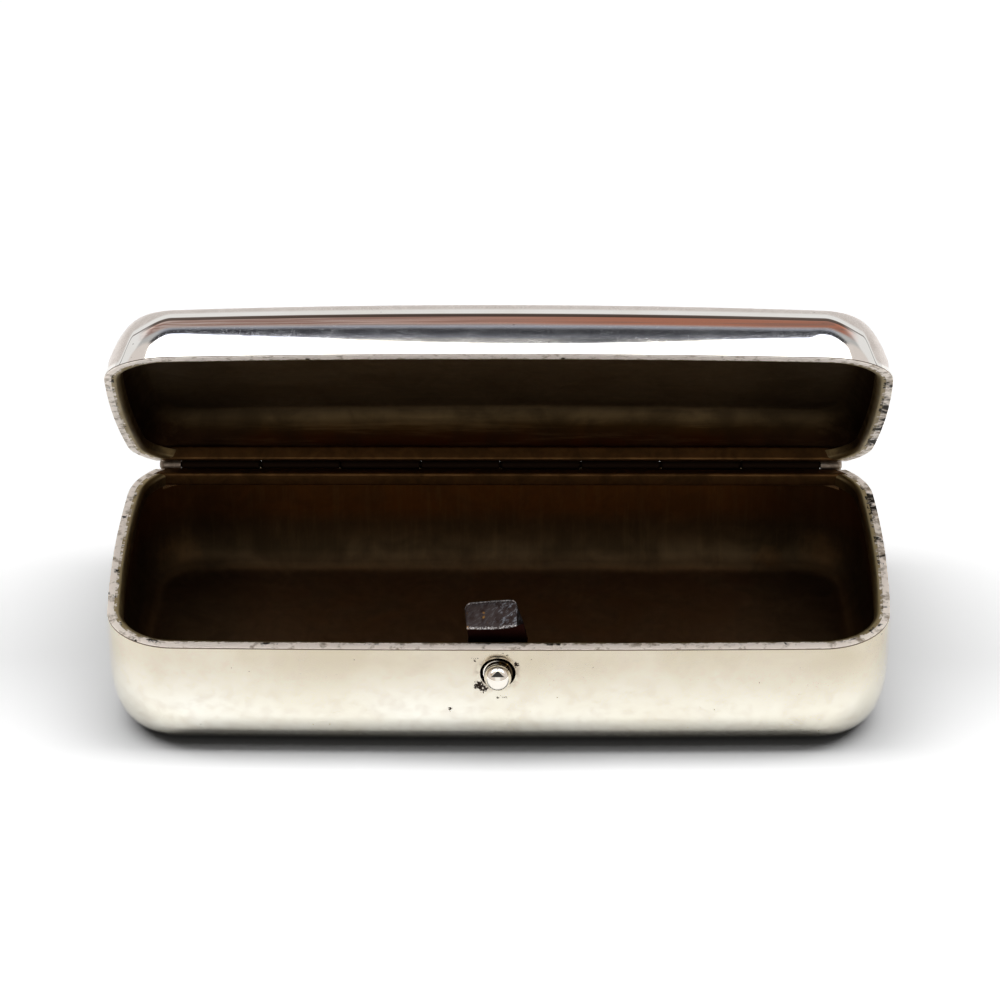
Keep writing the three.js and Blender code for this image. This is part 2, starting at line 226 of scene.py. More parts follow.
def sweep(section, closed=False):
    """A wall from its cross section, a list of (distance in from the outline, height above the mouth)."""
    bm = bmesh.new()
    depth = bm.verts.layers.float.new("from_mouth")
    inner = bm.verts.layers.float.new("inside")
    points = []
    for inset, level, inside in section:
        point = bm.verts.new((0, inset - half_width, level))
        point[depth] = abs(level) / mm
        point[inner] = inside
        points.append(point)
    edges = [bm.edges.new(pair) for pair in zip(points, points[1:])]
    if closed:
        edges.append(bm.edges.new((points[-1], points[0])))
    line = points + edges
    for (centre, turn), steps in zip(ARCS, ARC_STEPS):
        spun = bmesh.ops.spin(
            bm, geom=line, cent=(centre.x, centre.y, 0), axis=(0, 0, 1), angle=turn, steps=steps
        )
        line = spun["geom_last"]
    bmesh.ops.mirror(bm, geom=bm.faces[:] + bm.edges[:] + bm.verts[:], axis="X", merge_dist=JOIN)
    bmesh.ops.remove_doubles(bm, verts=bm.verts, dist=JOIN)
    return bm


# %% [markdown]
# A bowl's cross section runs from the edge of the outer closed face, round the turned edge, up
# the wall, over the mouth and down inside again. The mouth has a small soft arris, as rubbing and
# years of opening leave it. The third number of each point says how far inside it lies.

# %% Cross section of a bowl
ROUND_STEPS = 22
ARRIS = 0.16 * mm
ARRIS_STEPS = 5
JUST_UNDER = 0.02 * mm


def quarter(steps):
    return [math.pi / 2 * step / steps for step in range(steps + 1)]


def turned_edge(half, thickness):
    in_span = half["round_inset"] - thickness
    up_span = half["round_height"] - thickness
    power = 2 / half["squareness"]
    edge = []
    for angle in quarter(ROUND_STEPS):
        inset = thickness + in_span * (1 - math.sin(angle) ** power)
        rise = thickness + up_span * (1 - abs(math.cos(angle)) ** power)
        edge.append((inset, rise))
    return edge


def bowl_section(half):
    outer = turned_edge(half, 0)
    inner = turned_edge(half, WALL)
    height = half["height"]
    arris = [
        (ARRIS * (1 - math.cos(angle)), height - ARRIS * (1 - math.sin(angle)))
        for angle in quarter(ARRIS_STEPS)
    ]
    below = [(0, (outer[-1][1] + height) / 2)]
    inside = [(WALL, height - JUST_UNDER), (WALL, (inner[-1][1] + height) / 2)]
    rises = [(i, r, 0) for i, r in outer + below + arris + [(WALL, height)]]
    rises += [(i, r, 1) for i, r in inside + inner[::-1]]
    return [(i + lean_in(half, r), r - height, side) for i, r, side in rises]


def lean_in(half, rise):
    return half["lean"] * (1 - rise / half["height"])


BASE = {
    "height": base_height,
    "round_height": 10.0 * mm,
    "round_inset": 5.6 * mm,
    "squareness": 2.6,
    "lean": 0,
    "crown": 0,
    "lift": 0,
    "gap": 0,
}
LID = {
    "height": 8.4 * mm,
    "round_height": 8.0 * mm,
    "round_inset": 2.8 * mm,
    "squareness": 2.0,
    "lean": 1.5 * mm,
    "crown": 0.9 * mm,
    "lift": 0.5 * mm,
    "gap": 0.1 * mm,
}
print("section points", len(bowl_section(BASE)))

# %% [markdown]
# The two open loops left by the sweep are the closed faces, outside and inside. Each is filled
# with one face, which is then cut by a row of planes into strips and squares. The lid needs them,
# since its top is crowned: it falls away a little to its ends, and its front edge is lifted.

# %% Close a bowl
CUT_PITCH = 4 * mm
CUT_SNAP = 0.02 * mm


def close_bowl(bm):
    for face in bmesh.ops.edgeloop_fill(bm, edges=open_edges(bm))["faces"]:
        cut_in_squares(bm, face)


def cut_in_squares(bm, face):
    geom = [face] + face.edges[:] + face.verts[:]
    for axis, reach in ((0, half_length), (1, half_width)):
        count = int(reach / CUT_PITCH)
        for step in range(-count, count + 1):
            spot, across = Vector(), Vector()
            spot[axis] = step * CUT_PITCH
            across[axis] = 1
            cut = bmesh.ops.bisect_plane(
                bm, geom=geom, dist=CUT_SNAP, plane_co=spot, plane_no=across
            )
            geom = cut["geom"]


# %% Set a half in its place
def set_half(bm, half, side):
    """side is -1 for the base, which hangs from the mouth, and 1 for the lid, which stands on it."""
    for v in bm.verts:
        share = 1 + v.co.z / half["height"]
        middle = 1 - (v.co.x / half_length) ** 2
        frontness = max(0, -v.co.y / half_width) ** 4
        drop = half["crown"] * (1 - middle) * (1 - share)
        lift = half["lift"] * middle * frontness * share**6
        v.co.z = side * (-v.co.z - drop + lift + half["gap"])
    bmesh.ops.translate(bm, verts=bm.verts, vec=(0, 0, base_height))
    if side > 0:
        open_lid(bm)


def open_lid(bm):
    swing = Matrix.Rotation(-OPENING, 3, "X")
    bmesh.ops.rotate(bm, verts=bm.verts, cent=hinge, matrix=swing)


def bowl(name, half, side):
    bm = sweep(bowl_section(half))
    close_bowl(bm)
    set_half(bm, half, side)
    return finish_mesh(name, bm)


base_bowl = bowl("base_bowl", BASE, -1)
lid_bowl = bowl("lid_bowl", LID, 1)

# %% [markdown]
# ## Round work
# Everything turned on a lathe, such as the hinge tubes, the button and the rivets, is a profile
# spun once round its axis. A profile is a list of (distance along the axis, radius).

# %% Turn a profile
ROUND = 48
FINE_ROUND = 64
RIVET_ROUND = 40
SMALL_ROUND = 32


def lathe(profile, centre, axis, steps, closed=False):
    bm = bmesh.new()
    along, out = Vector(), Vector((0, 0, 1))
    along["XYZ".index(axis)] = 1
    points = [bm.verts.new(centre + along * far + out * radius) for far, radius in profile]
    edges = [bm.edges.new(pair) for pair in zip(points, points[1:])]
    if closed:
        edges.append(bm.edges.new((points[-1], points[0])))
    bmesh.ops.spin(
        bm, geom=points + edges, cent=centre, axis=along, angle=2 * math.pi, steps=steps, use_merge=True
    )
    return bm


def dome(radius, rise, start, steps=10):
    """A quarter round from an edge to the axis."""
    turns = quarter(steps)[1:-1]
    curve = [(start + rise * math.sin(a), radius * math.cos(a)) for a in turns]
    return curve + [(start + rise, 0)]


# %% [markdown]
# ## The hinge
# Eight tubes stand in a row on one wire, four soldered to each half in turn. Their ends nearly
# touch, and the narrow slits between them are what shows in the photograph.

# %% Knuckles, wire and plugs
KNUCKLES = 8
END_MARGIN = 7 * mm
KNUCKLE_RADIUS = 1.0 * mm
KNUCKLE_GAP = 0.3 * mm
KNUCKLE_SOFT = 0.12 * mm
PIN_RADIUS = 0.42 * mm
BORE_RADIUS = 0.5 * mm
PLUG_LENGTH = 2.9 * mm
PLUG_DOME = 0.7 * mm
PLUG_BORE = 1.4 * mm
PIN_END_ROOM = 0.08 * mm
barrel_half = half_length - END_MARGIN
pitch = 2 * barrel_half / KNUCKLES


def soft_corner(far, radius, soft, direction):
    """The rounded edge of a tube's end, where direction is the way its end looks."""
    turns = quarter(3)
    curve = [(far - direction * soft * (1 - math.sin(a)), radius - soft * (1 - math.cos(a))) for a in turns]
    return curve if direction > 0 else curve[::-1]


def knuckle(name, start):
    # known fault: the points of both ends run the wrong way, so the tube crosses itself at its
    # ends, is 0.12 mm thinner between them, and its faces look inwards
    long = pitch - KNUCKLE_GAP
    near = soft_corner(0, KNUCKLE_RADIUS, KNUCKLE_SOFT, -1)
    far = soft_corner(long, KNUCKLE_RADIUS, KNUCKLE_SOFT, 1)
    profile = [(0, BORE_RADIUS)] + near[::-1] + far[::-1] + [(long, BORE_RADIUS)]
    place_at = hinge + Vector((start + KNUCKLE_GAP / 2, 0, 0))
    return finish_mesh(name, lathe(profile, place_at, "X", ROUND, closed=True))


knuckles = []
for index in range(KNUCKLES):
    half = "base" if index % 2 == 0 else "lid"
    number = index // 2 + 1
    tube = knuckle(f"{half}_tube_{number}", index * pitch - barrel_half)
    place(tube, half, "hinge_silver", f"{half}_knuckle_{number}")
    knuckles.append(tube)

pin_half = barrel_half + PLUG_BORE - PIN_END_ROOM
pin_profile = [(-pin_half, 0), (-pin_half, PIN_RADIUS), (pin_half, PIN_RADIUS), (pin_half, 0)]
hinge_wire = finish_mesh("hinge_wire", lathe(pin_profile, hinge, "X", SMALL_ROUND))
place(hinge_wire, "base", "hinge_silver", "hinge_pin")


def plug(name, side):
    body = PLUG_LENGTH - PLUG_DOME
    profile = [(PLUG_BORE, 0), (PLUG_BORE, BORE_RADIUS), (0, BORE_RADIUS), (0, KNUCKLE_RADIUS)]
    profile += [(body, KNUCKLE_RADIUS)] + dome(KNUCKLE_RADIUS, PLUG_DOME, body)
    profile = [(side * far, radius) for far, radius in profile]
    end = hinge + Vector((side * barrel_half, 0, 0))
    return finish_mesh(name, lathe(profile, end, "X", ROUND))


plugs = [plug("left_end_plug", -1), plug("right_end_plug", 1)]
place(plugs[0], "base", "hinge_silver", "hinge_plug_left")
place(plugs[1], "base", "hinge_silver", "hinge_plug_right")

# %% [markdown]
# The barrel lies in a groove at the back of both halves. Each half hugs its own knuckles and
# leaves running room round the others. Behind the axis both are bevelled by half the full swing,
# or the lid could not pass upright.

# %% Tools for the groove and the bevel
RUNNING = 0.3 * mm
SEAT = 0.05 * mm
FULL_SWING = 95
SWING_SPARE = 1.5
BEVEL_ANGLE = math.radians(FULL_SWING / 2 + SWING_SPARE)
recess_half = barrel_half + PLUG_LENGTH + RUNNING


def groove_tool(own):
    """The stepped rod that frees a half from the barrel; own is 0 for the base and 1 for the lid."""
    tight = KNUCKLE_RADIUS + SEAT
    wide = KNUCKLE_RADIUS + RUNNING
    end_radius = wide if own else tight
    steps = [(-recess_half, end_radius), (-barrel_half, end_radius)]
    for index in range(KNUCKLES):
        start = index * pitch - barrel_half
        mine = index % 2 == own
        spare = 0 if mine else KNUCKLE_GAP / 2
        radius = tight if mine else wide
        steps += [(start - spare, radius), (start + pitch + spare, radius)]
    steps += [(barrel_half, end_radius), (recess_half, end_radius)]
    steps = [(-recess_half, 0)] + sorted(steps, key=lambda step: step[0]) + [(recess_half, 0)]
    return finish_mesh("groove_tool", lathe(steps, hinge, "X", ROUND))


def straight_groove():
    radius = KNUCKLE_RADIUS + RUNNING
    profile = [(-recess_half, 0), (-recess_half, radius), (recess_half, radius), (recess_half, 0)]
    return finish_mesh("straight_groove", lathe(profile, hinge, "X", ROUND))


def bar(outline_points, half_span):
    """A straight bar from its (y, z) outline, laid along X."""
    bm = bmesh.new()
    corners = [bm.verts.new((-half_span, y, z)) for y, z in outline_points]
    face = bm.faces.new(corners)
    grown = bmesh.ops.extrude_face_region(bm, geom=[face])["geom"]
    moved = [item for item in grown if isinstance(item, bmesh.types.BMVert)]
    bmesh.ops.translate(bm, verts=moved, vec=(2 * half_span, 0, 0))
    return bm


def bevel_tool(side):
    reach = 2 * HINGE_INSET
    fall = reach * math.tan(BEVEL_ANGLE)
    points = [
        (axis_y, base_height),
        (axis_y + reach, base_height + side * fall),
        (axis_y + reach, base_height - side * reach),
        (axis_y, base_height - side * reach),
    ]
    bm = bar(points, 2 * half_length)
    if side > 0:
        open_lid(bm)
    return finish_mesh("bevel_tool", bm)


carve(base_bowl, straight_groove())
carve(lid_bowl, straight_groove())
carve(base_bowl, bevel_tool(-1))
carve(lid_bowl, bevel_tool(1))

# %% [markdown]
# The button's hole goes through the front wall. It is cut with a rod, and then its two sharp
# edges are eased with a small bevel, so that they catch the light as a worn hole does.

# %% The button's hole
BUTTON_DROP = 3.6 * mm
HOLE_RADIUS = 2.2 * mm
HOLE_EASE = 0.12 * mm
HOLE_EDGE_ANGLE = math.radians(60)
FRONT_ZONE = 2 * mm
button_z = base_height - BUTTON_DROP
hole_at = Vector((0, -half_width, button_z))


def hole_tool():
    reach = 2.4 * mm
    profile = [(-reach, 0), (-reach, HOLE_RADIUS), (reach, HOLE_RADIUS), (reach, 0)]
    return finish_mesh("hole_tool", lathe(profile, hole_at, "Y", FINE_ROUND))


carve(base_bowl, hole_tool())


def ease_hole(piece, width):
    bm = bmesh.new()
    bm.from_mesh(piece.data)
    rim = []
    for edge in bm.edges:
        far = [abs(Vector((v.co.x, v.co.z - button_z)).length - HOLE_RADIUS) for v in edge.verts]
        in_front = all(v.co.y < -half_width + FRONT_ZONE for v in edge.verts)
        if in_front and max(far) < CLOSE and edge.calc_face_angle(0) > HOLE_EDGE_ANGLE:
            rim.append(edge)
    soften(bm, rim, width, 2)
    bm.to_mesh(piece.data)
    bm.free()
    print("eased edges", len(rim))


ease_hole(base_bowl, HOLE_EASE)


def measure_from_mouth(piece, half, side):
    """Writes the points' height above the mouth again, since a Boolean leaves new points without one."""
    depth = piece.data.attributes["from_mouth"].data
    back = Matrix.Rotation(OPENING if side > 0 else 0, 3, "X")
    for v in piece.data.vertices:
        spot = back @ (v.co - hinge) + hinge
        if side > 0 and spot.y < 0:
            continue
        drop = half["crown"] * (spot.x / half_length) ** 2
        height = side * (spot.z - base_height) - half["gap"]
        depth[v.index].value = height / (1 - drop / half["height"]) / mm


measure_from_mouth(base_bowl, BASE, -1)
measure_from_mouth(lid_bowl, LID, 1)
for piece in (base_bowl, lid_bowl):
    smooth(piece, CARVED_SHARP)
place(base_bowl, "base", "polished_silver", "base_shell")
place(lid_bowl, "lid", "polished_silver", "lid_shell")

# %% [markdown]
# ## The strips inside the mouths
# A strip of metal soldered inside each mouth makes the rim two millimetres wide and gives the
# catch something to hold. It is swept round the same arcs as the wall, with a soft inner edge,
# and cut off where the bar that carries the hinge takes over. The lid's band is the less deep of
# the two, since the hook has to reach round it. The third number of each point of its cross
# section tells where the gilding starts.

# %% Mouth bands
BASE["band_depth"] = 1.9 * mm
LID["band_depth"] = 1.6 * mm
RIM_WIDTH = 2.0 * mm
BAND_EDGE = 0.6 * mm
BAND_SOFT = 0.12 * mm
BAND_STEPS = 10
GILT_FROM = 1.2 * mm
FLUSH_SEAM = 0.004 * mm
SEAM = 0.03 * mm
BASE["bearer_depth"] = 3.7 * mm
LID["bearer_depth"] = 3.1 * mm


def band_section(half):
    outer = WALL + FLUSH_SEAM
    points = [(outer, 0, 0), (GILT_FROM, 0, 0)]
    for angle in quarter(BAND_STEPS):
        inset = RIM_WIDTH - BAND_EDGE * (1 - math.sin(angle))
        gilt = (inset - GILT_FROM) / (RIM_WIDTH - GILT_FROM)
        points.append((inset, -BAND_EDGE * (1 - math.cos(angle)), gilt))
    deep = half["band_depth"]
    points += [(RIM_WIDTH, BAND_SOFT - deep, 1), (RIM_WIDTH - BAND_SOFT, -deep, 1), (outer, -deep, 1)]
    return [(i + lean_in(half, half["height"] + level), level, side) for i, level, side in points]


def mouth_band(name, half, side):
    bm = sweep(band_section(half), closed=True)
    back = half_width - half["bearer_depth"] - SEAM
    everything = bm.verts[:] + bm.edges[:] + bm.faces[:]
    bmesh.ops.bisect_plane(
        bm, geom=everything, dist=JOIN, plane_co=(0, back, 0), plane_no=(0, 1, 0), clear_outer=True
    )
    bmesh.ops.holes_fill(bm, edges=open_edges(bm), sides=0)
    set_half(bm, half, side)
    return finish_mesh(name, bm)


base_band = mouth_band("base_band", BASE, -1)
carve(base_band, hole_tool())
measure_from_mouth(base_band, BASE, -1)
smooth(base_band)
lid_band = mouth_band("lid_band", LID, 1)
place(base_band, "base", "worn_gilt", "base_mouth_band")
place(lid_band, "lid", "worn_gilt", "lid_mouth_band")

# %% [markdown]
# ## The bars that carry the hinge
# A bar runs along the back of each half from end to end. It starts as a plain bar with one
# rounded edge, is fitted to the bowl by keeping only what lies in the bowl's hollow, and is then
# grooved for the barrel.

# %% Joint bearers
BEARER_HEIGHT = 1.9 * mm
BEARER_ROUND = 0.35 * mm


def hollow_tool(half, side):
    """The space inside a bowl as a solid, a seam's width clear of the wall."""
    height = half["height"]
    edge = turned_edge(half, WALL + SEAM) + [(WALL + SEAM, height)]
    bm = sweep([(i + lean_in(half, r), r - height, 0) for i, r in edge])
    bmesh.ops.edgeloop_fill(bm, edges=open_edges(bm))
    set_half(bm, half, side)
    return finish_mesh("hollow_tool", bm)


def bearer(name, half, side, own):
    front = half_width - half["bearer_depth"]
    face = base_height + side * half["gap"]
    far = face + side * BEARER_HEIGHT
    bm = bar([(front, face), (half_width, face), (half_width, far), (front, far)], half_length)
    long = [e for e in bm.edges if e.calc_length() > half_length]
    soften(bm, [e for e in long if all(abs(v.co.y - front) < CLOSE for v in e.verts)], BEARER_ROUND, 6)
    if side > 0:
        open_lid(bm)
    piece = finish_mesh(name, bm)
    carve(piece, hollow_tool(half, side), "INTERSECT")
    carve(piece, groove_tool(own))
    carve(piece, bevel_tool(side))
    smooth(piece, CARVED_SHARP)
    return piece


base_bearer = bearer("base_bearer", BASE, -1, 0)
lid_bearer = bearer("lid_bearer", LID, 1, 1)
place(base_bearer, "base", "worn_gilt", "base_joint_bearer")
place(lid_bearer, "lid", "worn_gilt", "lid_joint_bearer")

# %% [markdown]
# ## The catch
# The leaf is one strip of spring steel. Its foot is riveted to a lug inside the front wall, and
# its head is thickened forwards into a hook, with a ramp that the lid slides down as it shuts.
# It is drawn once from the side, drawn out along X, and cut into narrow strips, so that the
# filing, which is out of square, can be put in by moving points.

# %% The leaf from the side
LEAF_STANDOFF = 2.5 * mm
LEAF_THICKNESS = 0.6 * mm
LEAF_WIDTH = 7.4 * mm
LEAF_FOOT = 3.4 * mm
HOOK_GRIP = 0.5 * mm
HOOK_CLEARANCE = 0.2 * mm
HOOK_HEIGHT = 3.45 * mm
HOOK_NOSE = 0.4 * mm
HOOK_UNDERCUT = 0.15 * mm
HOOK_ROUND = 0.35 * mm
leaf_front = LEAF_STANDOFF - half_width
leaf_back = leaf_front + LEAF_THICKNESS
nose_y = RIM_WIDTH - HOOK_GRIP - half_width
underside = base_height + LID["band_depth"] + LID["gap"] + HOOK_CLEARANCE
leaf_top = underside + HOOK_HEIGHT


def curve_through(start, bend, end, steps):
    """Points on a quadratic curve, without its first."""
    points = []
    for step in range(1, steps + 1):
        t = step / steps
        mix = [(1 - t) ** 2 * a + 2 * t * (1 - t) * b + t * t * c for a, b, c in zip(start, bend, end)]
        points.append(tuple(mix))
    return points


def straight(start, end, steps):
    return [tuple(a + (b - a) * step / steps for a, b in zip(start, end)) for step in range(1, steps + 1)]


def leaf_side():
    foot_front = (leaf_front, LEAF_FOOT)
    foot_back = (leaf_back, LEAF_FOOT)
    root = (leaf_front, underside + HOOK_UNDERCUT)
    nose_low = (nose_y + 0.05 * mm, underside)
    nose_mid = (nose_y, underside + 0.1 * mm)
    nose_top = (nose_y, underside + HOOK_NOSE)
    crest = (leaf_back - HOOK_ROUND, leaf_top)
    back_top = (leaf_back, leaf_top - HOOK_ROUND)
    points = [foot_front]
    points += straight(foot_front, root, 22)
    points += straight(root, nose_low, 4)
    points += [nose_mid] + straight(nose_mid, nose_top, 3)
    points += curve_through(nose_top, (leaf_front - HOOK_GRIP / 2, leaf_top - HOOK_NOSE), crest, 16)
    points += curve_through(crest, (leaf_back, leaf_top), back_top, 6)
    points += straight(back_top, foot_back, 24)
    return points


print("points round the leaf", len(leaf_side()))

# %% [markdown]
# Below the mouth the strip is straight. Above it the hook narrows to one side, has its two upper
# corners rounded, and its nose climbs a little to the right, all as in the photograph. Each
# point is moved by where it lies: across runs from -1 on the left to 1 on the right, and share
# from 0 at the mouth to 1 at the crest.

# %% File the body of the hook
HOOK_TOP_WIDTH = 6.5 * mm
HOOK_TOP_SHIFT = -0.85 * mm
HOOK_CORNER = 0.95 * mm
CREST_CLIMB = 0.28 * mm
NOSE_CUT_BACK = 0.3 * mm


def narrow_hook(v, across, share, width):
    middle = HOOK_TOP_SHIFT * share
    left = middle - width / 2
    right = middle + width / 2
    top_right = HOOK_TOP_WIDTH / 2 + HOOK_TOP_SHIFT
    forward = min(1, max(0, (leaf_front - v.co.y) / NOSE_CUT_BACK))
    right += (min(right, top_right) - right) * forward
    v.co.x = left + (across + 1) / 2 * (right - left)


def round_corner(v, across, share, width):
    v.co.z += CREST_CLIMB * across * max(0, share - 0.5) * 2
    from_side = width / 2 * (1 - abs(across))
    into_corner = min(1, max(0, 1 - from_side / HOOK_CORNER))
    drop = HOOK_CORNER * (1 - math.sqrt(1 - into_corner**2))
    if share > 0.6:
        v.co.z -= drop * max(0, share * 2.4 - 1.4) ** 0.5


# %% [markdown]
# The nose keeps a ragged burr from the file, which is made with a noise that is the same each
# time. Where the hook is rubbed bright, and the part under it that the steel paints dark as shade,
# is written on the strip while it is still straight, for the steel to read later.

# %% File the nose
NOSE_CLIMB = 0.34 * mm
NOSE_SLANT = 0.22 * mm
NOSE_REACH = 1.4 * mm
NOSE_BELOW = 0.1 * mm
BURR = 0.05 * mm
BURR_RISE = 0.3 * mm
BURR_REACH = 0.5 * mm


def file_nose(v, across):
    if v.co.y >= leaf_front + CLOSE or v.co.z <= underside - NOSE_BELOW:
        return
    near = max(0, 1 - (v.co.y - nose_y) / NOSE_REACH)
    right = max(0, across + 0.1) / 1.1
    v.co.z += NOSE_CLIMB * right**1.6 * near
    v.co.y += NOSE_SLANT * right**2 * near
    rough = noise.noise(v.co / mm * 2.3) + 0.5 * noise.noise(v.co / mm * 6.1)
    keep = max(0, 1 - abs(v.co.z - underside - BURR_RISE) / BURR_REACH) * near
    v.co.y -= BURR * rough * keep
    v.co.z += BURR * 0.8 * rough * keep


# %% Note the wear
CREST_RUB = 0.4 * mm
NOSE_RUB_MIDDLE = 0.25 * mm
NOSE_RUB_UP = 0.75 * mm
NOSE_RUB_BACK = 0.6 * mm
SHADED_BEHIND = 0.02 * mm


def mark_wear(bm):
    rubbed = bm.verts.layers.float.new("rubbed")
    shaded = bm.verts.layers.float.new("shaded")
    nose_middle = underside + NOSE_RUB_MIDDLE
    for v in bm.verts:
        from_crest = (leaf_top - v.co.z) / CREST_RUB
        from_nose = max(abs(v.co.z - nose_middle) / NOSE_RUB_UP, (v.co.y - nose_y) / NOSE_RUB_BACK)
        v[rubbed] = max(0, 1 - from_crest, 1 - from_nose)
        # the part under the hook, behind the nose, is marked for painted shade
        low = v.co.z < underside + HOOK_UNDERCUT + CLOSE
        v[shaded] = float(low and v.co.y > nose_y + SHADED_BEHIND)


# %% The leaf
LEAF_CUTS = 47
LEAF_SOFT = 0.05 * mm
LEAF_MERGE = 0.00005 * mm


def file_hook(bm):
    for v in bm.verts:
        share = max(0, (v.co.z - base_height) / (leaf_top - base_height))
        across = v.co.x / (LEAF_WIDTH / 2)
        width = LEAF_WIDTH + (HOOK_TOP_WIDTH - LEAF_WIDTH) * share
        narrow_hook(v, across, share, width)
        round_corner(v, across, share, width)
        file_nose(v, across)


def spring_leaf():
    bm = bar(leaf_side(), LEAF_WIDTH / 2)
    long = [e for e in bm.edges if abs(e.verts[0].co.x - e.verts[1].co.x) > LEAF_WIDTH / 2]
    bmesh.ops.subdivide_edges(bm, edges=long, cuts=LEAF_CUTS, use_grid_fill=True)
    mark_wear(bm)
    file_hook(bm)
    caps = [f for f in bm.faces if len(f.verts) > 8]
    soften(bm, list({e for f in caps for e in f.edges}), LEAF_SOFT, 2)
    return finish_mesh("spring_leaf", bm, sharp=30, merge=LEAF_MERGE)


leaf = spring_leaf()
print("leaf faces", len(leaf.data.polygons))

# %% [markdown]
# The leaf has three holes: one for the button's shank and two for the rivets at its foot. The
# lug under it is a small bar with soft edges, fitted to the curve of the wall.

# %% Holes, lug and rivets
RIVET_RADIUS = 0.5 * mm
RIVET_ROOM = 0.1 * mm
RIVET_HEAD = 0.95 * mm
RIVET_RISE = 0.45 * mm
RIVET_GRIP = 0.6 * mm
RIVET_X = 2.2 * mm
BLOCK_HEIGHT = 3.6 * mm
BLOCK_WIDTH = 7.0 * mm
BLOCK_SOFT = 0.25 * mm
SHANK_RADIUS = 0.5 * mm
SHANK_ROOM = 0.1 * mm
rivet_z = LEAF_FOOT + BLOCK_HEIGHT / 2


def cross_hole(x, z, radius, start, end):
    profile = [(start, 0), (start, radius), (end, radius), (end, 0)]
    return finish_mesh("hole", lathe(profile, Vector((x, 0, z)), "Y", SMALL_ROUND))


def drill_for_rivets(piece, start, end):
    for x in (-RIVET_X, RIVET_X):
        carve(piece, cross_hole(x, rivet_z, RIVET_RADIUS + RIVET_ROOM, start, end))


carve(leaf, cross_hole(0, button_z, SHANK_RADIUS + SHANK_ROOM, leaf_front - mm, leaf_back + mm))
drill_for_rivets(leaf, leaf_front - mm, leaf_back + mm)
smooth(leaf, 30)
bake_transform(leaf)
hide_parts("catch_spring")


def lug():
    near = leaf_front - SEAM
    top = LEAF_FOOT + BLOCK_HEIGHT
    corners = [(-half_width, LEAF_FOOT), (near, LEAF_FOOT), (near, top), (-half_width, top)]
    bm = bar(corners, BLOCK_WIDTH / 2)
    soften(bm, bm.edges[:], BLOCK_SOFT, 4)
    piece = finish_mesh("catch_lug", bm)
    carve(piece, hollow_tool(BASE, -1), "INTERSECT")
    drill_for_rivets(piece, -half_width, leaf_back)
    smooth(piece, CARVED_SHARP)
    return piece


catch_lug = lug()
place(catch_lug, "base", "worn_gilt", "catch_block")


def rivet(name, x):
    head = leaf_back + SEAM
    tip = leaf_front - RIVET_GRIP
    profile = [(tip, 0), (tip, RIVET_RADIUS), (head, RIVET_RADIUS), (head, RIVET_HEAD)]
    profile += dome(RIVET_HEAD, RIVET_RISE, head)
    return finish_mesh(name, lathe(profile, Vector((x, 0, rivet_z)), "Y", RIVET_ROUND))


rivets = [rivet("left_rivet", -RIVET_X), rivet("right_rivet", RIVET_X)]
place(rivets[0], "base", "dark_steel", "catch_rivet_left")
place(rivets[1], "base", "dark_steel", "catch_rivet_right")

# %% [markdown]
# ## The button
# A ball stands on a round collar that fills the hole flush with the front wall. Its shank goes
# through the leaf and is riveted over a washer. All of that is one turned profile.

# %% Button and washer
BALL_RADIUS = 1.72 * mm
BALL_PROUD = 0.8 * mm
COLLAR_RADIUS = 1.87 * mm
COLLAR_SUNK = 0.05 * mm
COLLAR_SOFT = 0.1 * mm
BALL_STEPS = 30
WASHER_RADIUS = 1.25 * mm
WASHER_THICKNESS = 0.35 * mm
WASHER_SOFT = 0.06 * mm
SHANK_END_RADIUS = 0.85 * mm
SHANK_END_RISE = 0.4 * mm
ball_y = -half_width - BALL_PROUD
button_axis = Vector((0, 0, button_z))


def ball_button():
    collar_y = COLLAR_SUNK - half_width
    ball_turn = math.acos((ball_y - collar_y) / BALL_RADIUS)
    turns = [ball_turn * step / BALL_STEPS for step in range(BALL_STEPS + 1)]
    profile = [(ball_y - BALL_RADIUS * math.cos(turn), BALL_RADIUS * math.sin(turn)) for turn in turns]
    for angle in quarter(4):
        near = collar_y + COLLAR_SOFT * (1 - math.cos(angle))
        profile.append((near, COLLAR_RADIUS - COLLAR_SOFT * (1 - math.sin(angle))))
    shoulder = leaf_front - 2 * SEAM
    end = leaf_back + WASHER_THICKNESS + 2 * SEAM
    profile += [(shoulder, COLLAR_RADIUS), (shoulder, SHANK_RADIUS), (end, SHANK_RADIUS)]
    profile += [(end, SHANK_END_RADIUS)] + dome(SHANK_END_RADIUS, SHANK_END_RISE, end)
    return finish_mesh("ball_button", lathe(profile, button_axis, "Y", FINE_ROUND), sharp=45)


button = ball_button()
place(button, "catch", "polished_silver", "push_button")


def washer():
    bore = SHANK_RADIUS + SHANK_ROOM
    near = leaf_back + SEAM
    far = near + WASHER_THICKNESS
    edge = WASHER_RADIUS - WASHER_SOFT
    profile = [(near, bore), (near, edge), (near + WASHER_SOFT, WASHER_RADIUS)]
    profile += [(far - WASHER_SOFT, WASHER_RADIUS), (far, edge), (far, bore)]
    return finish_mesh("shank_washer", lathe(profile, button_axis, "Y", ROUND, closed=True))


shank_washer = washer()
place(shank_washer, "catch", "dark_steel", "button_washer")

# %% [markdown]
# ## Wires between nodes
# A material is a tree of nodes, and its wires carry numbers, colours and places. Written node by
# node, even a sum as small as (a - 0.5) * 2 takes two nodes and three wires. The class below lets
# Python's own signs add those nodes, so each finish can be written as sums that read as sums.

# %% Nodes and wires
def add_node(tree, kind, inputs=None, **settings):
    made = tree.nodes.new(kind)
    for name, value in settings.items():
        setattr(made, name, value)
    for socket, value in (inputs or {}).items():
        if isinstance(value, Wire):
            tree.links.new(value.socket, made.inputs[socket])
        else:
            made.inputs[socket].default_value = value
    return made


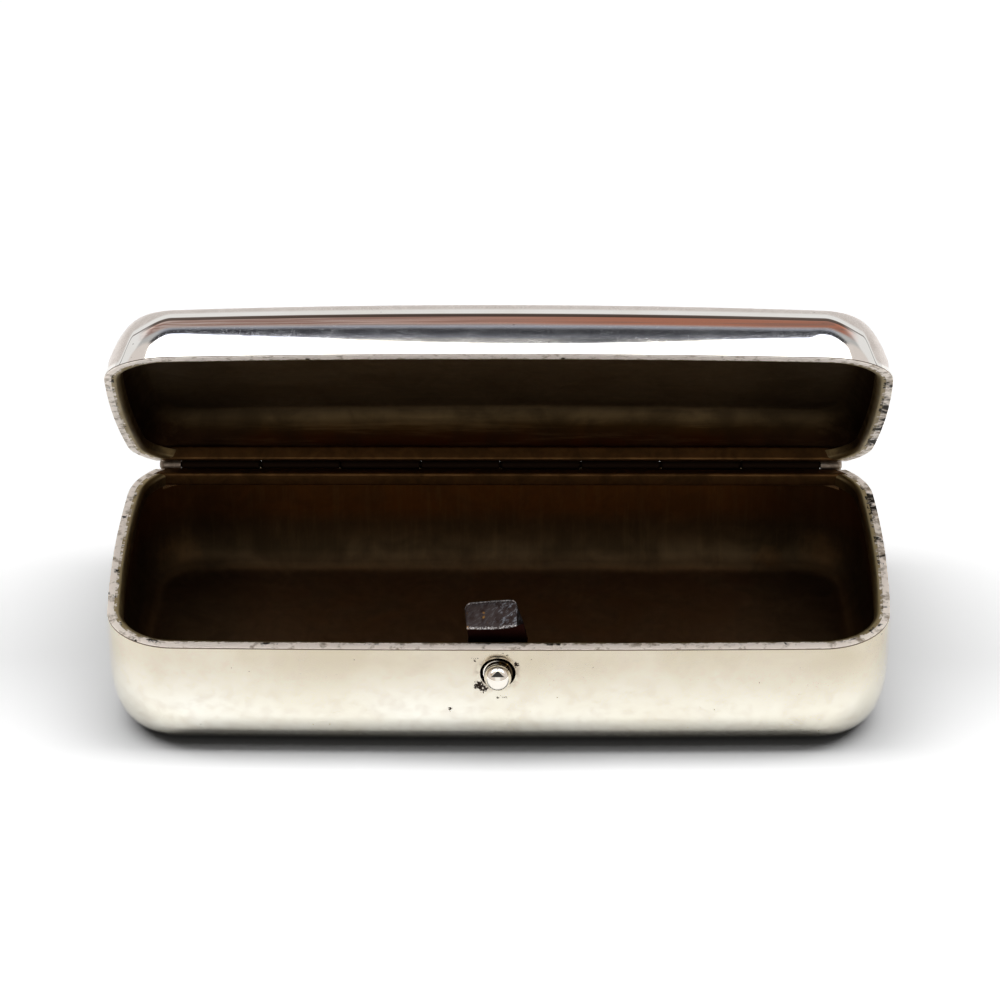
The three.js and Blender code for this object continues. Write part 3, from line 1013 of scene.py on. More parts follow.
def wire_from(tree, kind, inputs=None, output=0, **settings):
    return Wire(tree, add_node(tree, kind, inputs, **settings).outputs[output])


def work_out(operation, *values):
    """Adds a Math node, to the tree of whichever value is a wire."""
    tree = next(value.tree for value in values if isinstance(value, Wire))
    return wire_from(tree, "ShaderNodeMath", dict(enumerate(values)), operation=operation)


class Wire:
    """What comes out of a node."""

    def __init__(self, tree, socket):
        self.tree = tree
        self.socket = socket

    def __add__(self, other):
        return work_out("ADD", self, other)

    def __sub__(self, other):
        return work_out("SUBTRACT", self, other)

    def __rsub__(self, other):
        return work_out("SUBTRACT", other, self)

    def __mul__(self, other):
        return work_out("MULTIPLY", self, other)

    def __truediv__(self, other):
        return work_out("DIVIDE", self, other)

    def __rtruediv__(self, other):
        return work_out("DIVIDE", other, self)

    def __abs__(self):
        return work_out("ABSOLUTE", self)


# %% [markdown]
# Wear is never even. It starts somewhere, fades out somewhere else and has a ragged edge. The
# helpers for values say just that: spread fades, band keeps what lies between two values, and
# waver lets an even value run up and down with a cloud.

# %% Helpers for values
def spread(value, low, high, to_low=0.0, to_high=1.0):
    """Carries a value from one range smoothly over to another, and holds it at both ends."""
    inputs = {0: value, 1: low, 2: high, 3: to_low, 4: to_high}
    return wire_from(value.tree, "ShaderNodeMapRange", inputs, interpolation_type="SMOOTHSTEP")


def band(value, start, end, soft):
    """1 between two values, with soft ends."""
    rise = spread(value, start - soft, start + soft)
    fall = spread(value, end - soft, end + soft, 1.0, 0.0)
    return rise * fall


def waver(value, wave, amount):
    return value + (wave - 0.5) * amount


def most(first, *others):
    for other in others:
        first = work_out("MAXIMUM", first, other)
    return first


def least(first, second):
    return work_out("MINIMUM", first, second)


# %% Helpers for colours
def opaque(colour):
    return colour if isinstance(colour, Wire) else (*colour, 1)


def lay(under, share, over):
    """Lays one colour over another, as far as the share says."""
    inputs = {0: share, 6: opaque(under), 7: opaque(over)}
    return wire_from(share.tree, "ShaderNodeMix", inputs, 2, data_type="RGBA")


def ramp(value, high, stops):
    """A colour that follows a value from 0 to high, through stops of (value, colour)."""
    made = add_node(value.tree, "ShaderNodeValToRGB", {0: value / high})
    line = made.color_ramp.elements
    for stop in stops[2:]:
        line.new(stop[0] / high)
    for element, (at, colour) in zip(line, stops):
        element.position = at / high
        element.color = opaque(colour)
    return Wire(value.tree, made.outputs[0])


# %% [markdown]
# Every pattern is placed in millimetres on Object coordinates, so a scratch is as wide on the lid
# as on the base, and stays where it is when the lid turns. Some patterns follow the surface
# instead, and read an attribute that was written on the mesh while it was made.

# %% Helpers for places
def in_millimetres(tree):
    where = wire_from(tree, "ShaderNodeTexCoord", output="Object")
    return wire_from(tree, "ShaderNodeVectorMath", {0: where, 3: 1 / mm}, operation="SCALE")


def split(where):
    outputs = add_node(where.tree, "ShaderNodeSeparateXYZ", {0: where}).outputs
    return [Wire(where.tree, output) for output in outputs]


def distance(where, spot):
    return wire_from(where.tree, "ShaderNodeVectorMath", {0: where, 1: spot}, 1, operation="DISTANCE")


def turn_place(where, angles, stretch, shift=(0, 0, 0)):
    """Turns a pattern first, and then stretches it along its own turned axes."""
    turned = wire_from(where.tree, "ShaderNodeMapping", {"Vector": where, "Rotation": angles})
    inputs = {"Vector": turned, "Scale": stretch, "Location": shift}
    return wire_from(where.tree, "ShaderNodeMapping", inputs)


def cloud(where, scale, detail=4.0, rough=0.55, warp=0.0):
    inputs = {"Vector": where, "Scale": scale, "Detail": detail, "Roughness": rough, "Distortion": warp}
    return wire_from(where.tree, "ShaderNodeTexNoise", inputs)


def attribute(tree, name):
    return wire_from(tree, "ShaderNodeAttribute", output="Fac", attribute_name=name)


# %% [markdown]
# ## Effects that several finishes share
# Each effect is a node group with named inputs and outputs, built once and used by many finishes
# with values of their own. A group is made from a short function: it is given the place and the
# inputs, and hands back what the group puts out.

# %% Make and use an effect
def effect(name, build, **inputs):
    group = bpy.data.node_groups.new(name, "ShaderNodeTree")
    for label, value in inputs.items():
        socket = group.interface.new_socket(label, in_out="INPUT", socket_type="NodeSocketFloat")
        socket.default_value = value
    source = group.nodes.new("NodeGroupInput")
    given = {label: Wire(group, source.outputs[label]) for label in inputs}
    made = build(in_millimetres(group), **given)
    for label in made:
        group.interface.new_socket(label, in_out="OUTPUT", socket_type="NodeSocketFloat")
    result = group.nodes.new("NodeGroupOutput")
    for label, wire in made.items():
        group.links.new(wire.socket, result.inputs[label])
    print("effect", name, "gives", list(made))
    return group


def use(tree, group, output=0, **values):
    return wire_from(tree, "ShaderNodeGroup", values, output, node_tree=group)


# %% Tarnish, which gathers in soft clouds
def tarnish(where, size, cover, soft):
    broad = cloud(where, 1.0 / size, 5.0, 0.6, 0.4)
    level = 1.0 - cover
    return {"mask": spread(broad, level - soft, level + soft)}


TARNISH = effect("tarnish", tarnish, size=9.0, cover=0.5, soft=0.12)


# %% [markdown]
# Pits are cells of a Voronoi pattern, each with a spot in its middle. Its chance colour decides
# how large the spot is, and whether a lone one is there at all. Elsewhere they come in clusters.

# %% Pits
def pits(where, size, depth, cover):
    tree = where.tree
    wobble = cloud(where, 1.7, 3.0) * 0.4
    inputs = {0: where, 1: (1.0, 1.0, 1.0), 2: wobble}
    moved = wire_from(tree, "ShaderNodeVectorMath", inputs, operation="MULTIPLY_ADD")
    cells = add_node(tree, "ShaderNodeTexVoronoi", {"Vector": moved, "Scale": 1.0 / size}).outputs
    chance = wire_from(tree, "ShaderNodeSeparateColor", {0: Wire(tree, cells["Color"])})
    spot = 1.0 - spread(Wire(tree, cells["Distance"]), 0.0, depth * chance)
    clustered = spread(cloud(where, 0.16, 2.0), 0.62, 0.66)
    lone = work_out("GREATER_THAN", chance, 1.0 - cover)
    return {"mask": spot * most(clustered, lone)}


PITS = effect("pits", pits, size=1.2, depth=0.3, cover=0.4)


# %% [markdown]
# A scratch is the line where a long drawn-out noise passes its middle value. A second, softer
# noise lies over it as a gate that breaks the line up. Four directions make the usual crossing.

# %% Scratches
SCRATCH_TURNS = ((0.3, 0.2, 0.1), (1.9, 0.5, 0.9), (0.8, 2.3, 1.7), (2.6, 1.1, 0.4))
SCRATCH_THICK = 0.012


def scratches(where, fineness, cover):
    lines = []
    for index, angles in enumerate(SCRATCH_TURNS):
        ribbon_place = turn_place(where, angles, (0.06, 1, 1), (7.0 * index, 3, 5))
        ribbon = cloud(ribbon_place, fineness, 1.0, 0.4)
        line = 1.0 - spread(abs(ribbon - 0.5), 0.0, SCRATCH_THICK)
        gate_place = turn_place(where, angles, (0.3, 1, 1), (0, 0, 11.0 * index))
        gate_at = 1.0 - cover
        gate = spread(cloud(gate_place, 0.22, 2.0), gate_at, gate_at + 0.1)
        lines.append(line * gate)
    return {"mask": most(*lines)}


SCRATCHES = effect("scratches", scratches, fineness=3.0, cover=0.5)


# %% Dents, the soft waves that hammer and handling leave in raised sheet
def dents(where, size):
    scale = 1.0 / size
    broad = cloud(where, scale, 1.0, 0.3)
    small = cloud(where, scale * 3.7, 1.0, 0.3)
    return {"height": broad + small * 0.25}


DENTS = effect("dents", dents, size=12.0)

# %% [markdown]
# ## Finishes
# Silver is a metal whose colour comes from what it mirrors, so its base colour is nearly white
# with a little warmth, and the life is in the roughness and in the tarnish. The worn gilt inside
# is the same metal with a brown gold colour, darkened by years of snuff.

# %% Start and end a finish
def finish(name):
    material = bpy.data.materials.new(name)
    material.use_nodes = True
    return material, material.node_tree


def wire_finish(material, colour, rough, height=None, strength=0.1, depth=0.6 * mm):
    tree = material.node_tree
    shader = tree.nodes["Principled BSDF"].inputs
    shader["Metallic"].default_value = 1.0
    tree.links.new(colour.socket, shader["Base Color"])
    tree.links.new(rough.socket, shader["Roughness"])
    if height is not None:
        inputs = {"Strength": strength, "Distance": depth, "Height": height}
        tree.links.new(wire_from(tree, "ShaderNodeBump", inputs).socket, shader["Normal"])
    print("finish", material.name, "nodes", len(tree.nodes))
    return material


# %% [markdown]
# The flats of both mouths are rubbed bright in places and black or grey in others, where lid and
# base have knocked together. They are blackest on the right, behind the middle. A thin brown line
# is laid along their outer edge.

# %% The rubbed flats of the mouths
BRIGHT_SILVER = (0.98, 0.92, 0.86)
GREY_SILVER = (0.46, 0.39, 0.31)
BLACK_DIRT = (0.035, 0.028, 0.02)
EDGE_LINE_BROWN = (0.13, 0.09, 0.055)


def rubbed(where, inner):
    across, back, _ = split(where)
    right_patch = spread(across, 44.0, 46.0) * band(back, -3.0, 17.0, 1.0)
    at_ends = spread(abs(across), 36.0, 46.0, -0.035, 0.03)
    bias = inner * 0.05 + right_patch * 0.1 + at_ends
    patches = cloud(where, 0.3, 4.0, 0.66, 0.4) + bias
    mottle = cloud(where, 0.8, 3.0, 0.6) + bias
    return {"dark": spread(patches, 0.63, 0.71), "grey": spread(mottle, 0.50, 0.74)}


RUBBED = effect("rubbed", rubbed, inner=0.0)


def rubbed_colour(tree, inner):
    dark = use(tree, RUBBED, "dark", inner=inner)
    grey = use(tree, RUBBED, "grey", inner=inner)
    return lay(lay(BRIGHT_SILVER, grey, GREY_SILVER), dark, BLACK_DIRT)


def rough_rim(colour, rough):
    """Lays the rubbed silver of the mouth, and the line along its edge, over a finish."""
    from_mouth = attribute(colour.tree, "from_mouth")
    # a thin brown line along the outer edge, just under the mouth
    colour = lay(colour, band(from_mouth, 0.06, 0.2, 0.02), EDGE_LINE_BROWN)
    rim = spread(from_mouth, 0.1, 0.03)
    colour = lay(colour, rim, rubbed_colour(colour.tree, 0.0))
    return colour, rough + rim * 0.6


# %% [markdown]
# The base is cream and soft, yellower and darker towards the mouth: the yellow is tarnish, and the
# darkening is partly tarnish and partly painted shade. Round the button's hole there are file
# marks and clusters of pits, which no noise would put there, so they are listed one by one.

# %% Marks round the button's hole
HOLE_MARKS = (
    (-2.35, -1.75, 0.55),
    (-1.75, -2.3, 0.42),
    (-2.8, 2.1, 0.16),
    (2.3, 1.35, 0.26),
    (1.0, 2.75, 0.12),
    (0.1, -3.6, 0.13),
    (0.95, -3.5, 0.13),
    (-5.9, -5.6, 0.2),
)
MARK_SOFT = 0.08
MARK_RAGGED = 2.2


def hole_marks(where):
    """Each mark is a ragged spot, given by its place across and above the hole and its radius."""
    ragged = cloud(where, 2.6, 4.0, 0.7)
    spots = []
    for across, up, radius in HOLE_MARKS:
        spot = Vector((across, -half_width / mm, button_z / mm + up))
        reach = waver(distance(where, spot), ragged, MARK_RAGGED)
        spots.append(spread(reach, radius + MARK_SOFT, radius - MARK_SOFT))
    return most(*spots)


# %% Silver of the base
def base_silver():
    material, tree = finish("base_silver")
    where = in_millimetres(tree)
    cream = use(tree, TARNISH, size=14.0, cover=0.55, soft=0.2)
    grain = use(tree, TARNISH, size=1.6, cover=0.45, soft=0.12)
    scratched = use(tree, SCRATCHES, fineness=2.6, cover=0.5)
    pitted = use(tree, PITS, size=1.1, depth=0.14, cover=0.1)
    # darker towards the mouth: partly tarnish, partly painted shade on the upper wall
    high = spread(attribute(tree, "from_mouth"), 10.5, 1.0)
    lower = lay((0.97, 0.95, 0.86), cream, (0.90, 0.86, 0.73))
    upper = lay((0.72, 0.66, 0.54), cream, (0.62, 0.55, 0.42))
    colour = lay(lower, high, upper)
    colour = lay(colour, grain * 0.3, (0.64, 0.55, 0.46))
    colour = lay(colour, scratched * 0.35, (0.6, 0.56, 0.5))
    hole_spot = Vector((0, -half_width / mm, button_z / mm))
    ring = spread(distance(where, hole_spot), 3.3, 2.2) * 0.65
    colour = lay(colour, ring * grain, (0.3, 0.23, 0.17))
    marks = most(pitted, hole_marks(where))
    colour = lay(colour, marks, (0.03, 0.02, 0.015))
    rough = spread(cream, 0.0, 1.0, 0.08, 0.15) + scratched * 0.15 + marks * 0.5
    colour, rough = rough_rim(colour, rough)
    return wire_finish(material, colour, rough, use(tree, DENTS, size=11.0), 0.06)


# %% [markdown]
# On the lid, coloured bands are a painted reflection of the tent: blue grey above the bright
# lower part of the front, orange brown in the turned edge, and fine dark brown lines higher up,
# one of which runs on round the corners and down to the mouth. All follow the height above the
# mouth, in millimetres, which every point of the wall carries.

# %% Heights on the lid
REFLECTION_DIP_ACROSS = (7.5, 16.0)
REFLECTION_DIP_HEIGHT = (2.1, 3.0)
BLUE_HEIGHT = (2.9, 4.9)
ORANGE_HEIGHT = (4.9, 6.3)
BROAD_LINE_HEIGHT = (6.08, 6.58)
THIN_LINE_HEIGHT = (6.42, 6.6)
TOP_HEIGHT = (7.1, 7.6)


def lid_heights(where):
    """The height above the mouth, even and wavering, raised at the corners to pull the bands down."""
    out = abs(split(where)[0])
    dip = spread(out, 40.5, 46.5, 0.0, 2.3) + spread(out, 45.3, 47.3, 0.0, 4.3)
    dip = dip * spread(out, 49.3, 48.6)
    even = attribute(where.tree, "from_mouth")
    wave = cloud(turn_place(where, (0, 0, 0), (0.04, 1, 1)), 0.5, 3.0)
    return even + dip, waver(even, wave, 0.7) + dip


# %% Coloured bands of the lid, a painted reflection
def lid_reflection_bands(colour, where, even, wavy):
    """Lays the painted reflection, blue, orange and the brown lines, over a colour, and says where the blue
    is.
    """
    across, _, up = split(where)
    out = abs(across)
    on_front = spread(out, 45.0, 42.5) * spread(up, 36.0, 40.0)
    blue = band(wavy, *BLUE_HEIGHT, 0.25) * spread(out, 43.0, 41.0) * on_front
    colour = lay(colour, blue, (0.68, 0.69, 0.77))
    streak = cloud(turn_place(where, (0, 0, 0), (0.012, 1, 1)), 2.2, 3.0, 0.6)
    orange = lay((0.88, 0.68, 0.60), spread(across, -30.0, 20.0), (0.74, 0.31, 0.20))
    orange = lay(orange, spread(streak, 0.42, 0.6) * 0.8, (0.50, 0.27, 0.21))
    colour = lay(colour, band(wavy, *ORANGE_HEIGHT, 0.3) * on_front, orange)
    broad_line = band(even, *BROAD_LINE_HEIGHT, 0.08) * on_front
    thin_line = band(even, *THIN_LINE_HEIGHT, 0.05)
    line = most(broad_line * 0.93, thin_line * 0.9)
    return lay(colour, line, (0.08, 0.045, 0.03)), blue


# %% Silver of the lid
def lid_silver():
    material, tree = finish("lid_silver")
    where = in_millimetres(tree)
    even, wavy = lid_heights(where)
    cream = use(tree, TARNISH, size=12.0, cover=0.5, soft=0.2)
    grain = use(tree, TARNISH, size=1.3, cover=0.5, soft=0.3)
    scratched = use(tree, SCRATCHES, fineness=3.4, cover=0.6)
    pitted = use(tree, PITS, size=1.1, depth=0.14, cover=0.08)
    colour = lay((0.95, 0.93, 0.90), cream, (0.90, 0.87, 0.82))
    # painted reflection of the tent: blue, orange and brown bands
    colour, blue = lid_reflection_bands(colour, where, even, wavy)
    # greyer towards the top: partly a satin finish, partly a painted reflection
    top = spread(even, *TOP_HEIGHT)
    satin_and_reflection = lay((0.77, 0.70, 0.65), grain, (0.66, 0.59, 0.54))
    colour = lay(colour, top, satin_and_reflection)
    # painted reflection: a dark grey patch right of the middle, where the dark above the mirrored lamp
    # reaches lower
    reflection_dip = band(split(where)[0], *REFLECTION_DIP_ACROSS, 2.5) * band(wavy, *REFLECTION_DIP_HEIGHT, 0.4)
    colour = lay(colour, reflection_dip * 0.85, (0.30, 0.31, 0.33))
    colour = lay(colour, scratched * (blue * 0.5), (1.0, 1.0, 1.0))
    colour = lay(colour, pitted * 0.9, (0.10, 0.07, 0.05))
    rough = spread(cream, 0.0, 1.0, 0.03, 0.055) + scratched * 0.13 + top * 0.22
    colour, rough = rough_rim(colour, rough)
    return wire_finish(material, colour, rough, use(tree, DENTS, size=11.0), 0.04)


# %% [markdown]
# The inside was gilt, and is now satin and brown. It stays reddish under the mouth, shows a
# lighter gold where the wall turns into the closed face, which is a painted highlight, and has
# brush marks from cleaning. A few golden spots are painted highlights too, and both ends are
# darker with painted shade. The colours are stops along the way down from the mouth, in
# millimetres.

# %% Gilt of the inside
# the bright stop at 14.8 mm is a painted highlight along the foot of the base's wall
BASE_STOPS = (
    (0.0, (0.20, 0.075, 0.016)),
    (7.0, (0.19, 0.07, 0.015)),
    (9.5, (0.11, 0.06, 0.025)),
    (13.0, (0.13, 0.085, 0.042)),
    (14.3, (0.26, 0.17, 0.085)),
    (14.8, (0.55, 0.37, 0.20)),
    (15.02, (0.34, 0.21, 0.11)),
)
LID_STOPS = (
    (0.0, (0.05, 0.012, 0.002)),
    (3.6, (0.025, 0.006, 0.001)),
    (5.0, (0.035, 0.016, 0.004)),
    (6.2, (0.10, 0.066, 0.03)),
    (7.0, (0.10, 0.068, 0.034)),
    (7.5, (0.18, 0.12, 0.062)),
)
# painted highlights: golden glints in the back corners of the base's inside
PAINTED_GLINTS = (
    (Vector((43.0, 20.0, 3.5)), 4.0),
    (Vector((36.5, 20.0, 2.5)), 2.5),
    (Vector((-43.0, 19.0, 4.0)), 4.0),
)
LAST_TURN = 0.6


def inside_gilt(name, full_depth, stops, brushed, painted_glints):
    material, tree = finish(name)
    where = in_millimetres(tree)
    even = least(attribute(tree, "from_mouth"), full_depth)
    wavy = waver(even, cloud(where, 0.12, 3.0), 0.7)
    colour = ramp(least(wavy, most(even, full_depth - LAST_TURN)), full_depth, stops)
    stain = use(tree, TARNISH, size=6.0, cover=0.5, soft=0.2)
    colour = lay(colour, stain * 0.4, (0.03, 0.018, 0.008))
    brush = cloud(turn_place(where, (0, 0, 0), brushed), 1.0, 4.0, 0.65)
    colour = lay(colour, spread(brush, 0.45, 0.7) * 0.08, (0.40, 0.26, 0.12))
    ragged = cloud(where, 0.35, 5.0, 0.65)
    # painted highlights at the listed spots
    for spot, radius in painted_glints:
        reach = waver(distance(where, spot), ragged, 7.0)
        colour = lay(colour, spread(reach, radius, 0.0) * 0.3, (0.52, 0.27, 0.10))
    # painted shade: the inside darkens towards both ends
    at_ends = spread(abs(split(where)[0]), 28.0, 40.0, 0.0, 0.5)
    colour = lay(colour, at_ends, (0.02, 0.012, 0.006))
    rough = spread(stain, 0.0, 1.0, 0.55, 0.68)
    return wire_finish(material, colour, rough, use(tree, DENTS, size=9.0), 0.06)


# %% [markdown]
# On the bands the gilt starts on the flat, along a ragged edge, and turns over into the box. Its
# lip is a little lighter. The outer part of the flat is silver, rubbed like the wall beside it.

# %% Gilt of the bands
def worn_gilt():
    material, tree = finish("worn_gilt")
    where = in_millimetres(tree)
    from_mouth = attribute(tree, "from_mouth")
    stain = use(tree, TARNISH, size=2.0, cover=0.5, soft=0.2)
    colour = lay((0.20, 0.145, 0.065), stain, (0.09, 0.06, 0.028))
    colour = lay(colour, spread(from_mouth, 0.7, 0.2) * 0.8, (0.42, 0.33, 0.17))
    ragged = cloud(where, 1.1, 5.0, 0.65)
    at_ends = spread(abs(split(where)[0]), 40.0, 47.0, 0.0, 0.2)
    inwards = waver(attribute(tree, "inside"), ragged, 0.9) + at_ends
    silver = spread(inwards, 0.25, 0.15) * spread(from_mouth, 0.12, 0.05)
    colour = lay(colour, silver, rubbed_colour(tree, 1.0))
    rough = spread(stain, 0.0, 1.0, 0.4, 0.5) + silver * 0.2
    return wire_finish(material, colour, rough)


# %% [markdown]
# The bars, the lug and the plugs are small and plain, so one stained finish serves them. The
# hinge is silver where it is handled, at the back. The side that looks into the box, down in the
# narrow channel between the mouths, is near black: dark gilt, and painted shade.

# %% Bars, plugs and hinge
def stained(name, size, light, dark, light_rough, dark_rough):
    material, tree = finish(name)
    stain = use(tree, TARNISH, size=size, cover=0.5, soft=0.2)
    rough = spread(stain, 0.0, 1.0, light_rough, dark_rough)
    return wire_finish(material, lay(light, stain, dark), rough)


def hinge_silver():
    material, tree = finish("hinge_silver")
    stain = use(tree, TARNISH, size=2.0, cover=0.5, soft=0.2)
    back = split(in_millimetres(tree))[1]
    behind = spread(back, axis_y / mm + 0.1, axis_y / mm + 0.6)
    colour = lay((0.80, 0.74, 0.64), stain, (0.6, 0.52, 0.42))
    # near black in front of the axis: dark gilt, and painted shade in the channel between the mouths
    colour = lay((0.018, 0.01, 0.006), behind, colour)
    rough = spread(stain, 0.0, 1.0, 0.25, 0.4)
    rough = most(rough, spread(behind, 0.0, 1.0, 0.62, 0.0))
    return wire_finish(material, colour, rough)


# %% [markdown]
# The leaf is dark spring steel. Its crest and nose are rubbed bright, by the attribute written
# when the hook was filed, slanting scratches catch the light on the right, and two or three
# specks of rust show on the left. What lies under the hook is nearly black: dark rust, and
# painted shade under the hook.

# %% Steel of the catch
def dark_steel():
    material, tree = finish("dark_steel")
    where = in_millimetres(tree)
    across = split(where)[0]
    rust = use(tree, TARNISH, size=1.2, cover=0.4, soft=0.15)
    colour = lay((0.055, 0.042, 0.04), rust, (0.03, 0.018, 0.016))
    tilted = turn_place(where, (0.0, 0.75, 0.0), (0.35, 1.0, 1.0))
    slanting = spread(cloud(tilted, 3.0, 5.0, 0.75), 0.49, 0.64)
    to_right = spread(across, -1.2, 1.4, 0.1, 0.7)
    colour = lay(colour, slanting * to_right, (0.30, 0.32, 0.36))
    specks = use(tree, PITS, size=0.5, depth=0.5, cover=0.2)
    colour = lay(colour, specks * spread(across, -0.6, -2.0), (0.34, 0.17, 0.04))
    rub = attribute(tree, "rubbed")
    ragged = cloud(where, 5.5, 5.0, 0.75)
    worn = spread(waver(rub, ragged, 2.2), 0.75, 1.15) * spread(rub, 0.0, 0.3)
    colour = lay(colour, worn, (0.72, 0.69, 0.68))
    # nearly black under the hook: dark rust, and painted shade
    colour = lay(colour, attribute(tree, "shaded"), (0.014, 0.004, 0.003))
    rough = spread(rust, 0.0, 1.0, 0.42, 0.6)
    return wire_finish(material, colour, rough, ragged, 0.35, 0.05 * mm)


# %% [markdown]
# The ball is the brightest thing on the box. The crevice between it and its collar is dark, mostly
# on the right: partly dirt, partly painted shade. A little old gilding is left above it.

# %% Silver of the button
def button_silver():
    material, tree = finish("button_silver")
    across, back, up = split(in_millimetres(tree))
    haze = use(tree, TARNISH, size=1.5, cover=0.4, soft=0.2)
    colour = lay((0.92, 0.88, 0.80), haze, (0.88, 0.82, 0.72))
    above = up - button_z / mm
    from_axis = work_out("SQRT", work_out("POWER", across, 2.0) + work_out("POWER", above, 2.0))
    foot = spread(back, ball_y / mm + 0.45, ball_y / mm + 0.7)
    # dark in the crevice at the ball's foot: dirt, and painted shade
    crevice = foot * most(spread(from_axis, 1.74, 1.66), spread(across, -0.5, 0.3))
    colour = lay(colour, crevice, (0.05, 0.035, 0.02))
    flecks = use(tree, PITS, size=0.5, depth=0.6, cover=0.5)
    colour = lay(colour, band(above, 1.0, 1.5, 0.15) * flecks, (0.5, 0.34, 0.12))
    return wire_finish(material, colour, spread(haze, 0.0, 1.0, 0.02, 0.04))


# %% [markdown]
# A bowl carries two finishes, silver outside and gilt inside. The third number of each section
# point, which was spun round with the wall, now tells its inner faces from its outer ones.

# %% Give each piece its finish
def give(piece, *materials):
    piece.data.materials.clear()
    for material in materials:
        piece.data.materials.append(material)


def mark_inside(piece):
    """Gives a bowl's inner faces its second material."""
    inside = piece.data.attributes["inside"].data
    for face in piece.data.polygons:
        share = sum(inside[v].value for v in face.vertices) / len(face.vertices)
        face.material_index = int(share > 0.5)


BAR_COLOURS = ((0.17, 0.085, 0.03), (0.09, 0.045, 0.016))
PLUG_COLOURS = ((0.30, 0.25, 0.2), (0.16, 0.12, 0.09))
BASE_BRUSHED = (1.3, 0.12, 0.12)
LID_BRUSHED = (0.06, 0.9, 0.9)
give(base_bowl, base_silver(), inside_gilt("base_gilt", 15.1, BASE_STOPS, BASE_BRUSHED, PAINTED_GLINTS))
give(lid_bowl, lid_silver(), inside_gilt("lid_gilt", 7.5, LID_STOPS, LID_BRUSHED, ()))
mark_inside(base_bowl)
mark_inside(lid_bowl)
FINISHED = (
    (worn_gilt(), [base_band, lid_band]),
    (stained("bar_gilt", 3.0, *BAR_COLOURS, 0.5, 0.6), [base_bearer, lid_bearer, catch_lug]),
    (hinge_silver(), knuckles + [hinge_wire]),
    (stained("plug_silver", 1.0, *PLUG_COLOURS, 0.3, 0.45), plugs),
    (dark_steel(), [leaf, shank_washer] + rivets),
    (button_silver(), [button]),
)
for material, pieces in FINISHED:
    for piece in pieces:
        give(piece, material)

# %% [markdown]
# ## The table
# The box stands on plain white. The floor is one wide sheet, and its colour is a little over
# white for the camera and for mirrors, so that it clears to white and the shadow stays. Far from
# the box the lamps no longer reach it, so there it glows white by itself. Seen from below it is
# clear, so that the underside of the box can be looked at.

# %% Floor
FLOOR_REACH = 4.0
FLOOR_DROP = 0.02 * mm
FLOOR_SEEN = (1.48, 1.48, 1.48)
FLOOR_UNSEEN = (0.05, 0.05, 0.05)
GLOW_FROM = 0.2
GLOW_FULL = 0.5


def ray(tree, fact):
    return wire_from(tree, "ShaderNodeLightPath", output=fact)


def floor_finish():
    material, tree = finish("white_table")
    tree.nodes.clear()
    seen = most(ray(tree, "Is Camera Ray"), ray(tree, "Is Glossy Ray"))
    share = seen * work_out("LESS_THAN", ray(tree, "Diffuse Depth"), 0.5)
    lit = wire_from(tree, "ShaderNodeBsdfDiffuse", {"Color": lay(FLOOR_UNSEEN, share, FLOOR_SEEN)})
    glow = wire_from(tree, "ShaderNodeEmission", {"Strength": share})
    where = wire_from(tree, "ShaderNodeTexCoord", output="Object")
    reach = wire_from(tree, "ShaderNodeVectorMath", {0: where}, "Value", operation="LENGTH")
    shares = {0: spread(reach, GLOW_FROM, GLOW_FULL), 1: lit, 2: glow}
    surface = wire_from(tree, "ShaderNodeMixShader", shares)
    clear = wire_from(tree, "ShaderNodeBsdfTransparent")
    below = wire_from(tree, "ShaderNodeNewGeometry", output="Backfacing") * seen
    below = most(below, work_out("GREATER_THAN", ray(tree, "Transparent Depth"), 0.5))
    surface = wire_from(tree, "ShaderNodeMixShader", {0: below, 1: surface, 2: clear})
    add_node(tree, "ShaderNodeOutputMaterial", {"Surface": surface})
    return material


floor_bm = bmesh.new()
bmesh.ops.create_grid(floor_bm, x_segments=1, y_segments=1, size=FLOOR_REACH)
floor = finish_mesh("floor", floor_bm)
floor.location.z = -FLOOR_DROP
give(floor, floor_finish())
print("floor reaches", FLOOR_REACH, "m")

# %% [markdown]
# ## The light
# Silver shows the room that it stands in. The photograph was taken in a white tent: its front
# opening shows as a dark triangle in the ball, and the lid's front edge shows the lamp overhead
# and the darker roof behind it. The world paints that tent by direction, round the box. Two
# angles give a direction: how far aside it is, and how far it has climbed from the front, where
# 90 degrees is straight up.

# %% Directions in the tent
TO_DEGREES = 180 / math.pi


def directions(tree):
    sideways, back, up = split(wire_from(tree, "ShaderNodeTexCoord", output="Generated"))
    climbed = work_out("ARCTAN2", up, back * -1.0) * TO_DEGREES
    aside = abs(work_out("ARCSINE", sideways) * TO_DEGREES)
    return aside, climbed


# %% [markdown]
# The lamp is a wide box across the top of the tent, whose back edge is an arc, as its picture in
# the lid's edge shows. Behind it the roof falls off to dark and is lighter again further back.
# Only mirrors see the tent. To the camera the world is plain white, and to anything else it is
# nearly black, because the table has lamps of its own.

# %% World
SIDE_FADE = (12.0, 30.0)
SIDE_LEVEL = (0.68, 0.63, 0.60)
DARK_OPENING = (0.05, 0.05, 0.05)
OPENING_TIP = 86.0
OPENING_SLOPE = 1.16
OPENING_SILL = (31.0, 34.0)
LAMP_FRONT = (82.5, 84.5)
LAMP_EDGE = 96.7
LAMP_CURVE = 0.21
LAMP_CURVE_MOST = 11.0
LAMP_ENDS = (60.0, 56.0)
LAMP_LEVEL = 2.4
ROOF_ENDS = (30.0, 24.0)
EDGE_SOFT = 0.3
UNSEEN_LEVEL = (0.04, 0.04, 0.04)


def roof(climbed, curved):
    turned = climbed - curved * 0.4
    near = spread(turned, 97.0, 104.5, 0.34, 0.055)
    far = spread(turned, 106.0, 110.0, 0.0, 0.40)
    back = spread(climbed, 124.0, 130.0, 0.0, 0.34)
    return near + far + back


